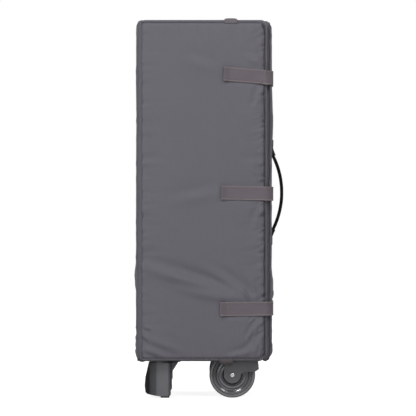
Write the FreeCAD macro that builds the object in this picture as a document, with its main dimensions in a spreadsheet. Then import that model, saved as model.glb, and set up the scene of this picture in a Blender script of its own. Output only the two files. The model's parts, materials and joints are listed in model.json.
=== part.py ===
import FreeCAD, Part

import math
import os
import re

import Sketcher

# A folding playpen standing folded up: its square tube frame is closed to a narrow upright
# bundle, and its four-panel mattress is wrapped round the bundle and held by three webbing
# straps.  It stands on two moulded feet (left) and two wheels (right).
# X is to the right, Y to the back, Z up.  The row's origin is on the floor, under the middle
# of the whole object's box.  Until that last move, x and y are counted from the bundle's middle.

DIMENSIONS = {
    # Mattress, wrapped round the frame.
    "wrap_half": 131,
    "wrap_base": 70,
    "panel_height": 660,
    "panel_depth": 24,
    "fold_gap": 0.5,
    "front_end_inset": 10,
    "right_end_gap": 3,
    "free_corner": 12,
    "fold_corner": 6,
    "cover_wall": 1.5,
    "edge_padding": 14,
    "core_clearance": 0.3,
    "board_thickness": 3,
    # Closing straps, their sewn ends and patches, the tabs and the carrying handle.
    "strap_width": 27,
    "strap_thickness": 2,
    "strap_lift": 1.6,
    "strap_anchor_length": 90,
    "patch_thickness": 1,
    "patch_length": 50,
    "patch_end_inset": 4,
    "patch_side_inset": 2,
    "tab_half_depth": 6,
    "handle_span": 152,
    "handle_rise": 19,
    "handle_radius": 2.8,
    "handle_axis_stand": 3.2,
    "handle_centre": 398,
    "handle_patch": 26,
    "handle_patch_gap": 2,
    # Corner legs.
    "leg_offset": 88,
    "leg_radius": 12.5,
    "tube_wall": 1.5,
    "leg_top": 716,
    "left_leg_base": 30,
    "right_leg_base": 98,
    "fit": 0.1,
    # Top corner brackets and the folding top rails.
    "bracket_half": 16.5,
    "bracket_base": 690,
    "bracket_top": 724,
    "cheek_thickness": 4,
    "cheek_height": 24,
    "rail_radius": 10,
    "rail_overrun": 8,
    "rail_slot_half": 10.5,
    "rail_pivot_height": 702,
    "rail_pivot_offset": 60,
    "long_rail": 470,
    "short_rail": 320,
    "rail_pin_radius": 3,
    # Centre latches of the top rails, with their release buttons.
    "latch_pin_offset": 12,
    "latch_half": 30,
    "latch_base": 18,
    "latch_height": 50,
    "latch_pin_rise": 33,
    "button_half_long": 9,
    "button_half_wide": 7,
    "button_height": 10,
    "button_proud": 6,
    "button_gap": 0.3,
    "button_pocket": 14,
    "spring_radius": 5,
    "spring_bore": 3.5,
    # Floor bars and their centre hub.
    "bar_radius": 6,
    "bar_slot_half": 6.5,
    "bar_foot_reach": 62,
    "bar_foot_height": 108,
    "bar_hub_reach": 17,
    "bar_hub_height": 590,
    "bar_overrun": 7,
    "bar_pin_radius": 2.5,
    "bar_pin_half": 11,
    "lug_half": 10,
    "lug_half_wide": 12,
    "lug_height": 20,
    "hub_radius": 38,
    "hub_base": 575,
    "hub_slot_top": 604,
    "hub_top": 618,
    "pull_tab_height": 46,
    # Folded fabric walls.
    "wall_half": 53,
    "wall_inner": 66,
    "wall_outer": 72,
    "wall_base": 122,
    "wall_top": 680,
    # Feet.
    "sole": 3,
    "sole_half": 8.5,
    "sole_shift": 12,
    "foot_top": 68.5,
    "collar_radius": 16,
    "collar_top": 84,
    "foot_lug_sink": 1,
    # Wheels and their forks.
    "axle_x": 54.5,
    "wheel_radius": 44.5,
    "tyre_depth": 7,
    "tyre_half_wide": 12,
    "disc_half_wide": 9,
    "disc_recess": 4,
    "disc_rim": 4,
    "disc_boss": 11,
    "axle_radius": 4,
    "axle_running_gap": 0.05,
    "wheel_clearance": 3.5,
    "tunnel_half": 13.5,
    "fork_half": 17.5,
    "fork_ear": 16,
    "fork_top": 112,
    "fork_collar_top": 128,
    "fork_collar_radius": 16.5,
    "fork_lug_sink": 19.5,
    "fork_shoulder_drop": 8,
    "fork_shoulder_run": 9,
    "fender_height": 51,
    "fender_brow": 56,
    "fender_back": 70,
    "fender_tip": 1.5,
    "fender_set_in": 10.5,
    "ear_flare": 5,
    "rivet_radius": 4.8,
    "rivet_head": 1.5,
    # How far a cutting solid runs past the face that it goes through.
    "overcut": 1,
}

SIDES = {"left": -1, "right": 1}
DEPTHS = {"front": -1, "back": 1}
STRAPS = {
    # Name: (x of the free end, height at the free end, height at the corner).
    "top": (38, 625.5, 618),
    "middle": (33, 397, 395),
    "lower": (31, 173, 174),
}
TABS = {
    # Name: (left x, right x, the height that it stands up or hangs down to).
    "upper": (40, 70, 733),
    "lower": (30, 55, 66),
}
# A foot seen from the front, as (x from its leg's axis, height): a slanted left face, an underside
# that rises to the left, and on the right a step that flares out under the mattress.
FOOT_PROFILE = [
    (-19.5, "foot_top"), (-26, 40), (-27.5, 23), (-25.8, 10.5), (-22.5, 7.8), (-14, 5.8), (-3, 3.9),
    (3, "sole"), (20.5, "sole"), (23, 5.5), (23, 24), (24.5, 26), (24.5, 48), (37.5, "foot_top"),
]
# A foot seen from above, as (x from its leg's axis, y outwards from it): a faceted block, kept
# inside the mattress in front of it, with a web on its right.
FOOT_PLAN = [
    (-28, -20), (-28, 2), (-20.5, 12), (-7.5, 17.5), (18.5, 17.5), (24.5, 12.5),
    (25, 8), (40, 8), (40, -12), (27, -12), (20, -28), (-17, -28),
]

doc = FreeCAD.newDocument("playpen")
sheet = doc.addObject("Spreadsheet::Sheet", "sizes")
for row, (alias, size) in enumerate(DIMENSIONS.items(), start=1):
    sheet.set("A%d" % row, alias)
    sheet.set("B%d" % row, str(size))
    sheet.setAlias("B%d" % row, alias)
doc.recompute()
pieces = []


def cells(text):
    """Turn the dimension names in an expression into references to the sheet's cells."""
    def cell(word):
        return "sizes." + word.group() if word.group() in DIMENSIONS else word.group()
    return re.sub(r"[a-z][a-z_]+", cell, str(text))


def value(text):
    """Work out an expression in the dimension names, as a plain number."""
    return float(sheet.evalExpression(cells(text)))


def bind(thing, **sizes):
    for name, text in sizes.items():
        thing.setExpression(name, cells(text))


def at(thing, x=0, y=0, z=0):
    """Bind a solid's position."""
    for axis, text in zip("xyz", (x, y, z)):
        thing.setExpression(".Placement.Base." + axis, cells(text))
    return thing


def turned(thing, axis, degrees):
    """Turn a solid about an axis through its own origin."""
    thing.Placement.Rotation = FreeCAD.Rotation(FreeCAD.Vector(*axis), degrees)
    return thing


def box(x0, x1, y0, y1, z0, z1):
    solid = doc.addObject("Part::Box", "block")
    length, width, height = ["(%s) - (%s)" % ends for ends in ((x1, x0), (y1, y0), (z1, z0))]
    bind(solid, Length=length, Width=width, Height=height)
    return at(solid, x0, y0, z0)


def centred_box(half_x, half_y, z0, z1, x=0, y=0, turn=0):
    """A block centred on a vertical line and turned about it."""
    solid = doc.addObject("Part::Box", "block")
    bind(solid, Length="2 * (%s)" % half_x, Width="2 * (%s)" % half_y, Height="(%s) - (%s)" % (z1, z0))
    swing = FreeCAD.Rotation(FreeCAD.Vector(0, 0, 1), turn)
    corner = swing.multVec(FreeCAD.Vector(-value(half_x), -value(half_y), 0))
    solid.Placement.Rotation = swing
    return at(solid, "(%s) + (%r)" % (x, corner.x), "(%s) + (%r)" % (y, corner.y), z0)


def upright(radius, z0, z1, x=0, y=0):
    """A round bar along Z."""
    solid = doc.addObject("Part::Cylinder", "bar")
    bind(solid, Radius=radius, Height="(%s) - (%s)" % (z1, z0))
    return at(solid, x, y, z0)


def crosswise(radius, half_length, x, y, z, axis):
    """A round bar centred on a point, along X ("x") or Y ("y")."""
    solid = doc.addObject("Part::Cylinder", "pin")
    bind(solid, Radius=radius, Height="2 * (%s)" % half_length)
    if axis == "x":
        turned(solid, (0, 1, 0), 90)
        return at(solid, "(%s) - (%s)" % (x, half_length), y, z)
    turned(solid, (1, 0, 0), -90)
    return at(solid, x, "(%s) - (%s)" % (y, half_length), z)


def between(radius, start, end, overrun=0):
    """A round bar from one point to another, carried on past both by the overrun."""
    first = FreeCAD.Vector(*[value(v) for v in start])
    last = FreeCAD.Vector(*[value(v) for v in end])
    way = (last - first).normalize()
    first = first - way * value(overrun)
    solid = doc.addObject("Part::Cylinder", "rod")
    run = " + ".join("((%s) - (%s))^2" % (b, a) for a, b in zip(start, end))
    bind(solid, Radius=radius, Height="sqrt(%s) + 2 * (%s)" % (run, overrun))
    solid.Placement = FreeCAD.Placement(first, FreeCAD.Rotation(FreeCAD.Vector(0, 0, 1), way))
    return solid


def cut(base, *tools):
    whole = base
    for tool in tools:
        result = doc.addObject("Part::Cut", "cut")
        result.Base = whole
        result.Tool = tool
        whole = result
    return whole


def fuse(*solids):
    result = doc.addObject("Part::MultiFuse", "fuse")
    result.Shapes = list(solids)
    result.Refine = True
    return result


def common(first, second):
    result = doc.addObject("Part::MultiCommon", "common")
    result.Shapes = [first, second]
    return result


def new_body(name):
    return doc.addObject("PartDesign::Body", name)


def new_sketch(body, plane):
    """A sketch on one of the body's own origin planes."""
    sketch = body.newObject("Sketcher::SketchObject", "sketch")
    support = next(f for f in body.Origin.OriginFeatures if f.Role == plane)
    sketch.AttachmentSupport = [(support, "")]
    sketch.MapMode = "FlatFace"
    return sketch


def polygon(body, plane, points):
    """A closed outline with each corner held to a pair of expressions."""
    sketch = new_sketch(body, plane)
    spots = [FreeCAD.Vector(value(u), value(v), 0) for u, v in points]
    for here, spot in enumerate(spots):
        sketch.addGeometry(Part.LineSegment(spot, spots[(here + 1) % len(spots)]), False)
    for here in range(len(spots)):
        sketch.addConstraint(Sketcher.Constraint("Coincident", here, 2, (here + 1) % len(spots), 1))
    for here, (u, v) in enumerate(points):
        for kind, text in (("DistanceX", u), ("DistanceY", v)):
            number = sketch.addConstraint(Sketcher.Constraint(kind, here, 1, value(text)))
            sketch.setExpression("Constraints[%d]" % number, cells(text))
    return sketch


def circle(body, plane, u, v, radius):
    sketch = new_sketch(body, plane)
    middle = FreeCAD.Vector(value(u), value(v), 0)
    sketch.addGeometry(Part.Circle(middle, FreeCAD.Vector(0, 0, 1), value(radius)), False)
    for kind, text in (("DistanceX", u), ("DistanceY", v)):
        number = sketch.addConstraint(Sketcher.Constraint(kind, 0, 3, value(text)))
        sketch.setExpression("Constraints[%d]" % number, cells(text))
    number = sketch.addConstraint(Sketcher.Constraint("Radius", 0, value(radius)))
    sketch.setExpression("Constraints[%d]" % number, cells(radius))
    return sketch


def extrude(body, sketch, kind, depth):
    """A pad or pocket, half its depth on each side of the sketch."""
    feature = body.newObject("PartDesign::" + kind, kind.lower())
    feature.Profile = sketch
    feature.Midplane = True
    bind(feature, Length=depth)
    return feature


def piece(label, *solids):
    """Make solids one named piece, and stand it on the row's origin."""
    whole = doc.addObject("Part::Compound", "piece")
    whole.Links = list(solids)
    whole.Label = label
    at(whole, "-(handle_tip - wrap_half) / 2", "(strap_face - wrap_half) / 2")
    pieces.append(whole)


# The mattress.  Each panel is drawn lying along X with its outer face on y = 0, its inner face at
# +y, and then turned into its place on the wrap.  Where two panels meet in a fold, both are
# mitred at 45 degrees about the outer corner, so that the fold can open through a right angle.


def slanted_cutter(body, start_x, shift):
    """Take away a 45 degree mitre with a turned block."""
    cutter = body.newObject("PartDesign::SubtractiveBox", "mitre")
    bind(cutter, Length="3 * panel_depth", Width="3 * panel_depth", Height="panel_height + 2 * overcut")
    turned(cutter, (0, 0, 1), 45)
    side = value("panel_depth") / math.sqrt(2)
    at(cutter, "(%s) + (%r)" % (start_x, shift * side), repr(-side), "wrap_base - overcut")


def panel(name, length, mitred_start, mitred_end, x, y, turn):
    """One mattress panel: fabric cover, foam core and stiffening board."""
    cover = new_body(name + "_shell")
    slab = cover.newObject("PartDesign::AdditiveBox", "slab")
    bind(slab, Length=length, Width="panel_depth", Height="panel_height")
    at(slab, 0, 0, "wrap_base")
    doc.recompute()
    rounding(cover, slab, 0, "fold_corner" if mitred_start else "free_corner")
    rounding(cover, cover.Tip, value(length), "fold_corner" if mitred_end else "free_corner")
    if mitred_start:
        slanted_cutter(cover, "fold_gap", -1)
    if mitred_end:
        slanted_cutter(cover, "(%s) - fold_gap" % length, 1)
    inner_start = "panel_depth + cover_wall" if mitred_start else "edge_padding"
    inner_end = "(%s) - (%s)" % (length, "panel_depth + cover_wall" if mitred_end else "edge_padding")
    cavity = cover.newObject("PartDesign::SubtractiveBox", "cavity")
    bind(cavity, Length="(%s) - (%s)" % (inner_end, inner_start), Width="panel_depth - 2 * cover_wall",
         Height="panel_height - 2 * edge_padding")
    at(cavity, inner_start, "cover_wall", "wrap_base + edge_padding")

    def core(y0, y1):
        return box("(%s) + core_clearance" % inner_start, "(%s) - core_clearance" % inner_end, y0, y1,
                   "wrap_base + edge_padding + core_clearance",
                   "wrap_base + panel_height - edge_padding - core_clearance")

    board_face = "cover_wall + core_clearance"
    foam_face = board_face + " + board_thickness + core_clearance"
    board = core(board_face, board_face + " + board_thickness")
    foam = core(foam_face, "panel_depth - cover_wall - core_clearance")
    for part_name, solid in (("cover", cover), ("board", board), ("foam", foam)):
        placed = doc.addObject("Part::Compound", "placed")
        placed.Links = [solid]
        turned(placed, (0, 0, 1), turn)
        at(placed, x, y)
        piece("mattress_%s_%s" % (name, part_name), placed)


def rounding(body, base, x, radius):
    """Round the panel's two corners at one end, as seen face on."""
    shape = base.Shape
    names = []
    for number, edge in enumerate(shape.Edges, start=1):
        ends = [v.Point for v in edge.Vertexes]
        across = abs(ends[0].y - ends[-1].y) > value("panel_depth") / 2
        if across and abs(ends[0].x - x) < 0.1:
            names.append("Edge%d" % number)
    fillet = body.newObject("PartDesign::Fillet", "rounding")
    fillet.Base = (base, names)
    bind(fillet, Radius=radius)
    doc.recompute()


def mattress():
    full = "2 * wrap_half"
    panel("back", full, True, True, "wrap_half", "wrap_half", 180)
    panel("left", full, True, True, "-wrap_half", "wrap_half", -90)
    panel("front", full + " - front_end_inset", True, False, "-wrap_half", "-wrap_half", 0)
    right_start = "-wrap_half + panel_depth + right_end_gap"
    panel("right", "wrap_half - (%s)" % right_start, False, True, "wrap_half", right_start, 90)


def straps():
    """Three straps sewn to the right panel; the loose ends close over the front panel."""
    hinge_x = "wrap_half + core_clearance + strap_thickness / 2"
    anchors = []
    patches = []
    for name, (end_x, end_height, corner_height) in STRAPS.items():
        run = value(hinge_x) - end_x
        tilt = math.degrees(math.atan2(end_height - corner_height, run))
        tongue = doc.addObject("Part::Box", "tongue")
        bind(tongue, Length="(%s) - %r" % (hinge_x, end_x), Width="strap_thickness", Height="strap_width")
        corner = turned(doc.addObject("Part::Compound", "tilted"), (0, 1, 0), tilt)
        at(tongue, "%r - (%s)" % (end_x, hinge_x), "-strap_thickness / 2", "-strap_width / 2")
        corner.Links = [tongue]
        at(corner, hinge_x, "-(strap_face - strap_thickness / 2)", corner_height)
        piece("strap_" + name, corner)
        low = "%r - strap_width / 2" % corner_height
        anchors.append(box("wrap_half + core_clearance", "wrap_half + core_clearance + strap_thickness",
                           "-(strap_face - strap_thickness) + core_clearance",
                           "-wrap_half + strap_anchor_length", low, low + " + strap_width"))
        middle = end_height + (corner_height - end_height) / 4
        patch_half = "(strap_width / 2 - patch_side_inset)"
        patch_start = "%r + patch_end_inset" % end_x
        patch_back = "-(wrap_half + core_clearance)"
        patches.append(box(patch_start, patch_start + " + patch_length", patch_back + " - patch_thickness",
                           patch_back, "%r - %s" % (middle, patch_half), "%r + %s" % (middle, patch_half)))
    piece("strap_anchors", *anchors)
    piece("strap_patches", *patches)


def tabs():
    """Short webbing tabs sewn into the front panel's upper and lower edges."""
    middle = "-(wrap_half - panel_depth / 2)"
    front = middle + " - tab_half_depth"
    back = middle + " + tab_half_depth"
    solids = []
    for left, right, reach in TABS.values():
        upper = reach > value("wrap_base")
        low = "wrap_base + panel_height + core_clearance" if upper else reach
        high = reach if upper else "wrap_base - core_clearance"
        solids.append(box(left, right, front, back, low, high))
    piece("webbing_tabs", *solids)


def handle():
    """A rolled webbing handle: a shallow arch that swings about the line through its ends."""
    ring = doc.addObject("Part::Torus", "arch")
    radius = "((handle_span / 2)^2 + handle_rise^2) / (2 * handle_rise)"
    half_turn = "asin(handle_span / 2 / (%s))" % radius
    bind(ring, Radius1=radius, Radius2="handle_radius", Angle3="2 * " + half_turn)
    flat = turned(doc.addObject("Part::Compound", "standing"), (1, 0, 0), 90)
    flat.Links = [turned(ring, (0, 0, 1), -value(half_turn))]
    at(flat, "handle_axis_x + handle_rise - (%s)" % radius, 0, "handle_centre")
    piece("handle_webbing", flat)
    patches = []
    for side in (-1, 1):
        near = "handle_centre + %d * (handle_span / 2 + handle_patch_gap)" % side
        far = "handle_centre + %d * (handle_span / 2 + handle_patch_gap + handle_patch)" % side
        low, high = (near, far) if side > 0 else (far, near)
        patches.append(box("wrap_half + core_clearance", "wrap_half + core_clearance + strap_thickness",
                           "-handle_patch / 2", "handle_patch / 2", low, high))
    piece("handle_anchors", *patches)


# The folded frame.


def corners():
    for depth, y_side in DEPTHS.items():
        for side, x_side in SIDES.items():
            yield "%s_%s" % (depth, side), x_side, y_side


def legs():
    for name, x_side, y_side in corners():
        x = "%d * leg_offset" % x_side
        y = "%d * leg_offset" % y_side
        base = "left_leg_base" if x_side < 0 else "right_leg_base"
        tube = cut(upright("leg_radius", base, "leg_top", x, y),
                   upright("leg_radius - tube_wall", base + " - overcut", "leg_top + overcut", x, y))
        piece("leg_" + name, tube)


def brackets():
    """Moulded top corners: each holds a leg and the outer ends of two half rails."""
    for name, x_side, y_side in corners():
        x = "%d * leg_offset" % x_side
        y = "%d * leg_offset" % y_side
        block = centred_box("bracket_half", "bracket_half", "bracket_base", "bracket_top", x, y)
        ears = []
        half_long = "(leg_offset - rail_pivot_offset) / 2 + cheek_thickness"
        half_thick = "cheek_thickness / 2"
        inward = "((leg_offset + rail_pivot_offset) / 2 - cheek_thickness)"
        ear_heights = ("bracket_base", "bracket_base + cheek_height")
        for way in (-1, 1):
            off = "%d * (rail_slot_half + cheek_thickness / 2)" % way
            ears.append(centred_box(half_long, half_thick, *ear_heights, "%d * %s" % (x_side, inward),
                                    "%s + %s" % (y, off)))
            ears.append(centred_box(half_thick, half_long, *ear_heights, "%s + %s" % (x, off),
                                    "%d * %s" % (y_side, inward)))
        bore = upright("leg_radius + fit", "bracket_base - overcut", "leg_top + fit", x, y)
        hole = "rail_pin_radius + fit"
        pivot_x = "%d * rail_pivot_offset" % x_side
        pivot_y = "%d * rail_pivot_offset" % y_side
        pin_x = crosswise(hole, "bracket_half", pivot_x, y, "rail_pivot_height", "y")
        pin_y = crosswise(hole, "bracket_half", x, pivot_y, "rail_pivot_height", "x")
        piece("corner_bracket_" + name, cut(fuse(block, *ears), bore, pin_x, pin_y))


def latch_pin_height(rail):
    return "rail_pivot_height - sqrt(%s^2 - (rail_pivot_offset - latch_pin_offset)^2)" % rail


def rail_tube(top, low):
    return cut(between("rail_radius", top, low, "rail_overrun"),
               between("rail_radius - tube_wall", top, low, "rail_overrun + overcut"))


def half_rails():
    """Each side's top rail is two tubes that fold down to a latch in the middle."""
    hole = "rail_pin_radius + fit"
    for depth, y_side in DEPTHS.items():
        for side, x_side in SIDES.items():
            y = "%d * leg_offset" % y_side
            top = ("%d * rail_pivot_offset" % x_side, y, "rail_pivot_height")
            low = ("%d * latch_pin_offset" % x_side, y, latch_pin_height("long_rail"))
            holes = [crosswise(hole, "bracket_half", *end, "y") for end in (top, low)]
            piece("rail_%s_%s_half" % (depth, side), cut(rail_tube(top, low), *holes))
    for side, x_side in SIDES.items():
        for depth, y_side in DEPTHS.items():
            x = "%d * leg_offset" % x_side
            top = (x, "%d * rail_pivot_offset" % y_side, "rail_pivot_height")
            low = (x, "%d * latch_pin_offset" % y_side, latch_pin_height("short_rail"))
            holes = [crosswise(hole, "bracket_half", *end, "x") for end in (top, low)]
            piece("rail_%s_%s_half" % (side, depth), cut(rail_tube(top, low), *holes))


def latches():
    """A latch housing, a release button and its spring in the middle of every top rail."""
    springs = []
    places = [(name, "0", "%d * leg_offset" % way, "long_rail", 1) for name, way in DEPTHS.items()]
    places += [(name, "%d * leg_offset" % way, "0", "short_rail", 0) for name, way in SIDES.items()]
    for name, x, y, rail, along_x in places:
        low = "%s - latch_pin_rise" % latch_pin_height(rail)
        outer = "rail_slot_half + cheek_thickness"

        def slab(half_along, half_across, z0, z1):
            halves = (half_along, half_across) if along_x else (half_across, half_along)
            return centred_box(*halves, "%s + %s" % (low, z0), "%s + %s" % (low, z1), x, y)

        housing = slab("latch_half", outer, "0", "latch_height")
        slot = slab("latch_half + overcut", "rail_slot_half", "latch_base", "latch_height + overcut")
        pocket = slab("button_half_long + button_gap", "button_half_wide + button_gap", "-overcut",
                      "button_pocket")
        holes = []
        for way in (-1, 1):
            off = "%d * latch_pin_offset" % way
            spot = (off, y) if along_x else (x, off)
            holes.append(crosswise("rail_pin_radius + fit", "bracket_half", *spot, latch_pin_height(rail),
                                   "y" if along_x else "x"))
        piece("latch_housing_" + name, cut(housing, slot, pocket, *holes))
        button = slab("button_half_long", "button_half_wide", "-button_proud",
                      "button_height - button_proud")
        piece("latch_button_" + name, button)
        floor_of_spring = "%s + button_height - button_proud + fit" % low
        top_of_spring = "%s + button_pocket - fit" % low
        bore = upright("spring_bore", floor_of_spring + " - overcut", top_of_spring + " + overcut", x, y)
        springs.append(cut(upright("spring_radius", floor_of_spring, top_of_spring, x, y), bore))
    piece("latch_springs", *springs)


def bar_ends(x_side, y_side):
    foot = ("%d * bar_foot_reach" % x_side, "%d * bar_foot_reach" % y_side, "bar_foot_height")
    hub = ("%d * bar_hub_reach" % x_side, "%d * bar_hub_reach" % y_side, "bar_hub_height")
    return foot, hub


def across_bar(radius, half_length, spot, x_side, y_side):
    """A pin or bore across a floor bar, level and square to the bar's diagonal."""
    reach = value(half_length) / math.sqrt(2)
    start = ("%s - %r" % (spot[0], y_side * reach), "%s + %r" % (spot[1], x_side * reach), spot[2])
    end = ("%s + %r" % (spot[0], y_side * reach), "%s - %r" % (spot[1], x_side * reach), spot[2])
    return between(radius, start, end)


def floor_bars():
    """Four bars that spread the legs; folded, they stand up to the raised hub."""
    bars = []
    for name, x_side, y_side in corners():
        ends = bar_ends(x_side, y_side)
        holes = [across_bar("bar_pin_radius + fit", "lug_half_wide", end, x_side, y_side) for end in ends]
        bars.append(cut(between("bar_radius", *ends, "bar_overrun"), *holes))
    piece("floor_bars", *bars)


def floor_hub():
    drum = upright("hub_radius", "hub_base", "hub_top")
    slot_size = ("hub_radius + overcut", "bar_slot_half", "hub_base - overcut", "hub_slot_top")
    slots = [centred_box(*slot_size, turn=turn) for turn in (45, 135)]
    holes = []
    for name, x_side, y_side in corners():
        hub_end = bar_ends(x_side, y_side)[1]
        holes.append(across_bar("bar_pin_radius + fit", "lug_half_wide", hub_end, x_side, y_side))
    piece("floor_hub", cut(drum, *slots, *holes))
    piece("hub_pull_tab", centred_box("strap_width / 2", "strap_thickness", "hub_top + core_clearance",
                                      "hub_top + pull_tab_height"))


def pins():
    """Every steel hinge pin of the folded frame."""
    solids = []
    half = "rail_slot_half + cheek_thickness"
    for name, x_side, y_side in corners():
        x = "%d * leg_offset" % x_side
        y = "%d * leg_offset" % y_side
        for reach, long_height, short_height in (
                ("rail_pivot_offset", "rail_pivot_height", "rail_pivot_height"),
                ("latch_pin_offset", latch_pin_height("long_rail"), latch_pin_height("short_rail"))):
            pin_x = "%d * %s" % (x_side, reach)
            pin_y = "%d * %s" % (y_side, reach)
            solids.append(crosswise("rail_pin_radius", half, pin_x, y, long_height, "y"))
            solids.append(crosswise("rail_pin_radius", half, x, pin_y, short_height, "x"))
        for end in bar_ends(x_side, y_side):
            solids.append(across_bar("bar_pin_radius", "bar_pin_half", end, x_side, y_side))
    piece("hinge_pins", *solids)


def walls():
    """The fabric and mesh walls, gathered into a flat bundle inside each pair of legs."""
    span = ("-wall_half", "wall_half")
    bundles = []
    for way in (-1, 1):
        depth = ("-wall_outer", "-wall_inner") if way < 0 else ("wall_inner", "wall_outer")
        bundles.append(box(*span, *depth, "wall_base", "wall_top"))
        bundles.append(box(*depth, *span, "wall_base", "wall_top"))
    piece("folded_walls", *bundles)


def bar_lug(x_side, y_side, low):
    """A forked lug on a foot or fork, in which a floor bar's lower end is pinned."""
    x = "%d * bar_foot_reach" % x_side
    y = "%d * bar_foot_reach" % y_side
    turn = 45 * x_side * y_side
    block = centred_box("lug_half", "lug_half_wide", low, "bar_foot_height + lug_height / 2", x, y, turn)
    slot = centred_box("lug_half * 2", "bar_slot_half", "bar_foot_height - lug_height / 2",
                       "bar_foot_height + lug_height", x, y, turn)
    foot_end = bar_ends(x_side, y_side)[0]
    bore = across_bar("bar_pin_radius + fit", "lug_half_wide + overcut", foot_end, x_side, y_side)
    return block, [slot, bore]


def feet():
    """Faceted moulded feet under the two left legs, each on a rubber sole."""
    outline = [("-leg_offset + %r" % x, height) for x, height in FOOT_PROFILE]
    soles = []
    for depth, y_side in DEPTHS.items():
        y = "%d * leg_offset" % y_side
        plan = [("-leg_offset + %r" % x, "%d * (leg_offset + %r)" % (y_side, out)) for x, out in FOOT_PLAN]
        profile = new_body("foot_profile")
        extrude(profile, polygon(profile, "XZ_Plane", outline), "Pad", "4 * leg_offset")
        footprint = new_body("foot_plan")
        extrude(footprint, polygon(footprint, "XY_Plane", plan), "Pad", "4 * foot_top")
        collar = upright("collar_radius", "foot_top - overcut", "collar_top", "-leg_offset", y)
        lug, openings = bar_lug(SIDES["left"], y_side, "foot_top - foot_lug_sink")
        bore = upright("leg_radius + fit", "left_leg_base - fit", "collar_top + overcut", "-leg_offset", y)
        piece("foot_" + depth, cut(fuse(common(profile, footprint), collar, lug), bore, *openings))
        soles.append(centred_box("sole_half", "sole_half", 0, "sole - fit", "-leg_offset + sole_shift", y))
    piece("foot_soles", *soles)


def forks():
    """Moulded wheel forks under the two right legs, each a fender with two cheeks."""
    outer_x = "leg_offset + bracket_half"
    outline = [
        ("axle_x - fork_ear", "wheel_radius"),
        ("axle_x - fork_ear", "fork_top - fork_shoulder_drop"),
        ("axle_x - fork_ear + fork_shoulder_run", "fork_top"),
        (outer_x, "fork_top"),
        (outer_x, "fender_back"),
        (outer_x + " + fender_tip", "fender_brow"),
        ("leg_offset + fender_set_in", "fender_height"),
        ("axle_x + fork_ear + ear_flare", "fender_height"),
        ("axle_x + fork_ear", "wheel_radius"),
    ]
    for depth, y_side in DEPTHS.items():
        y = "%d * leg_offset" % y_side
        body = new_body("fork_body")
        extrude(body, polygon(body, "XZ_Plane", outline), "Pad", "2 * fork_half")
        ear = circle(body, "XZ_Plane", "axle_x", "wheel_radius", "fork_ear")
        extrude(body, ear, "Pad", "2 * fork_half")
        tunnel = circle(body, "XZ_Plane", "axle_x", "wheel_radius", "wheel_radius + wheel_clearance")
        extrude(body, tunnel, "Pocket", "2 * tunnel_half")
        bore = circle(body, "XZ_Plane", "axle_x", "wheel_radius", "axle_radius + fit")
        extrude(body, bore, "Pocket", "4 * fork_half")
        at(body, 0, y)
        collar = upright("fork_collar_radius", "fork_top - overcut", "fork_collar_top", "leg_offset", y)
        lug, openings = bar_lug(SIDES["right"], y_side, "fork_top - fork_lug_sink")
        leg_bore = upright("leg_radius + fit", "right_leg_base - fit", "fork_collar_top + overcut",
                           "leg_offset", y)
        piece("wheel_fork_" + depth, cut(fuse(body, collar, lug), leg_bore, *openings))


def ring_about_axle(outer, inner, half_wide, y):
    rim = crosswise(outer, half_wide, "axle_x", y, "wheel_radius", "y")
    return cut(rim, crosswise(inner, half_wide + " + overcut", "axle_x", y, "wheel_radius", "y"))


def wheels():
    """Two plastic wheels with soft tyres, each turning on a steel axle riveted into its fork."""
    axles = []
    rim = "wheel_radius - tyre_depth"
    for depth, y_side in DEPTHS.items():
        y = "%d * leg_offset" % y_side
        piece("tyre_" + depth, ring_about_axle("wheel_radius", rim + " + fit", "tyre_half_wide", y))
        disc = crosswise(rim, "disc_half_wide", "axle_x", y, "wheel_radius", "y")
        bore = crosswise("axle_radius + axle_running_gap", "disc_half_wide + overcut", "axle_x", y,
                         "wheel_radius", "y")
        dishes = []
        for way in (-1, 1):
            middle = "%s + %d * disc_half_wide" % (y, way)
            dishes.append(ring_about_axle(rim + " - disc_rim", "disc_boss", "disc_recess", middle))
        piece("wheel_disc_" + depth, cut(disc, bore, *dishes))
        shaft = crosswise("axle_radius", "fork_half", "axle_x", y, "wheel_radius", "y")
        heads = [crosswise("rivet_radius", "rivet_head / 2", "axle_x",
                           "%s + %d * (fork_half + rivet_head / 2)" % (y, way), "wheel_radius", "y")
                 for way in (-1, 1)]
        axles.append(fuse(shaft, *heads))
    piece("wheel_axles", *axles)


# Lengths that several pieces share, worked out from the others and kept in the sheet with them.
DERIVED = {
    "strap_face": "wrap_half + strap_lift + strap_thickness",
    "handle_axis_x": "wrap_half + handle_axis_stand",
    "handle_tip": "wrap_half + handle_axis_stand + handle_rise + handle_radius",
}
for row, (alias, formula) in enumerate(DERIVED.items(), start=len(DIMENSIONS) + 1):
    sheet.set("A%d" % row, alias)
    sheet.set("B%d" % row, repr(value(formula)))
    sheet.setAlias("B%d" % row, alias)
    DIMENSIONS[alias] = formula
doc.recompute()

mattress()
straps()
tabs()
handle()
legs()
brackets()
half_rails()
latches()
floor_bars()
floor_hub()
pins()
walls()
feet()
forks()
wheels()
doc.recompute()

for thing in doc.Objects:
    if any(word in thing.State for word in ("Invalid", "Error")):
        raise RuntimeError("%s (%s) failed to recompute" % (thing.Label, thing.Name))
os.makedirs("parts", exist_ok=True)
for thing in pieces:
    if thing.Shape.isNull() or not thing.Shape.isValid() or not thing.Shape.Solids:
        raise RuntimeError(thing.Label + " is not a valid solid")
    thing.Shape.exportStep("parts/%s.step" % thing.Label)
    print("%-28s solids %2d  volume %9.0f" % (thing.Label, len(thing.Shape.Solids), thing.Shape.Volume))
print(len(pieces), "pieces")
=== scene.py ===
import json
import math

import bmesh
import bpy
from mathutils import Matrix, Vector, noise
from mathutils.bvhtree import BVHTree


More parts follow.
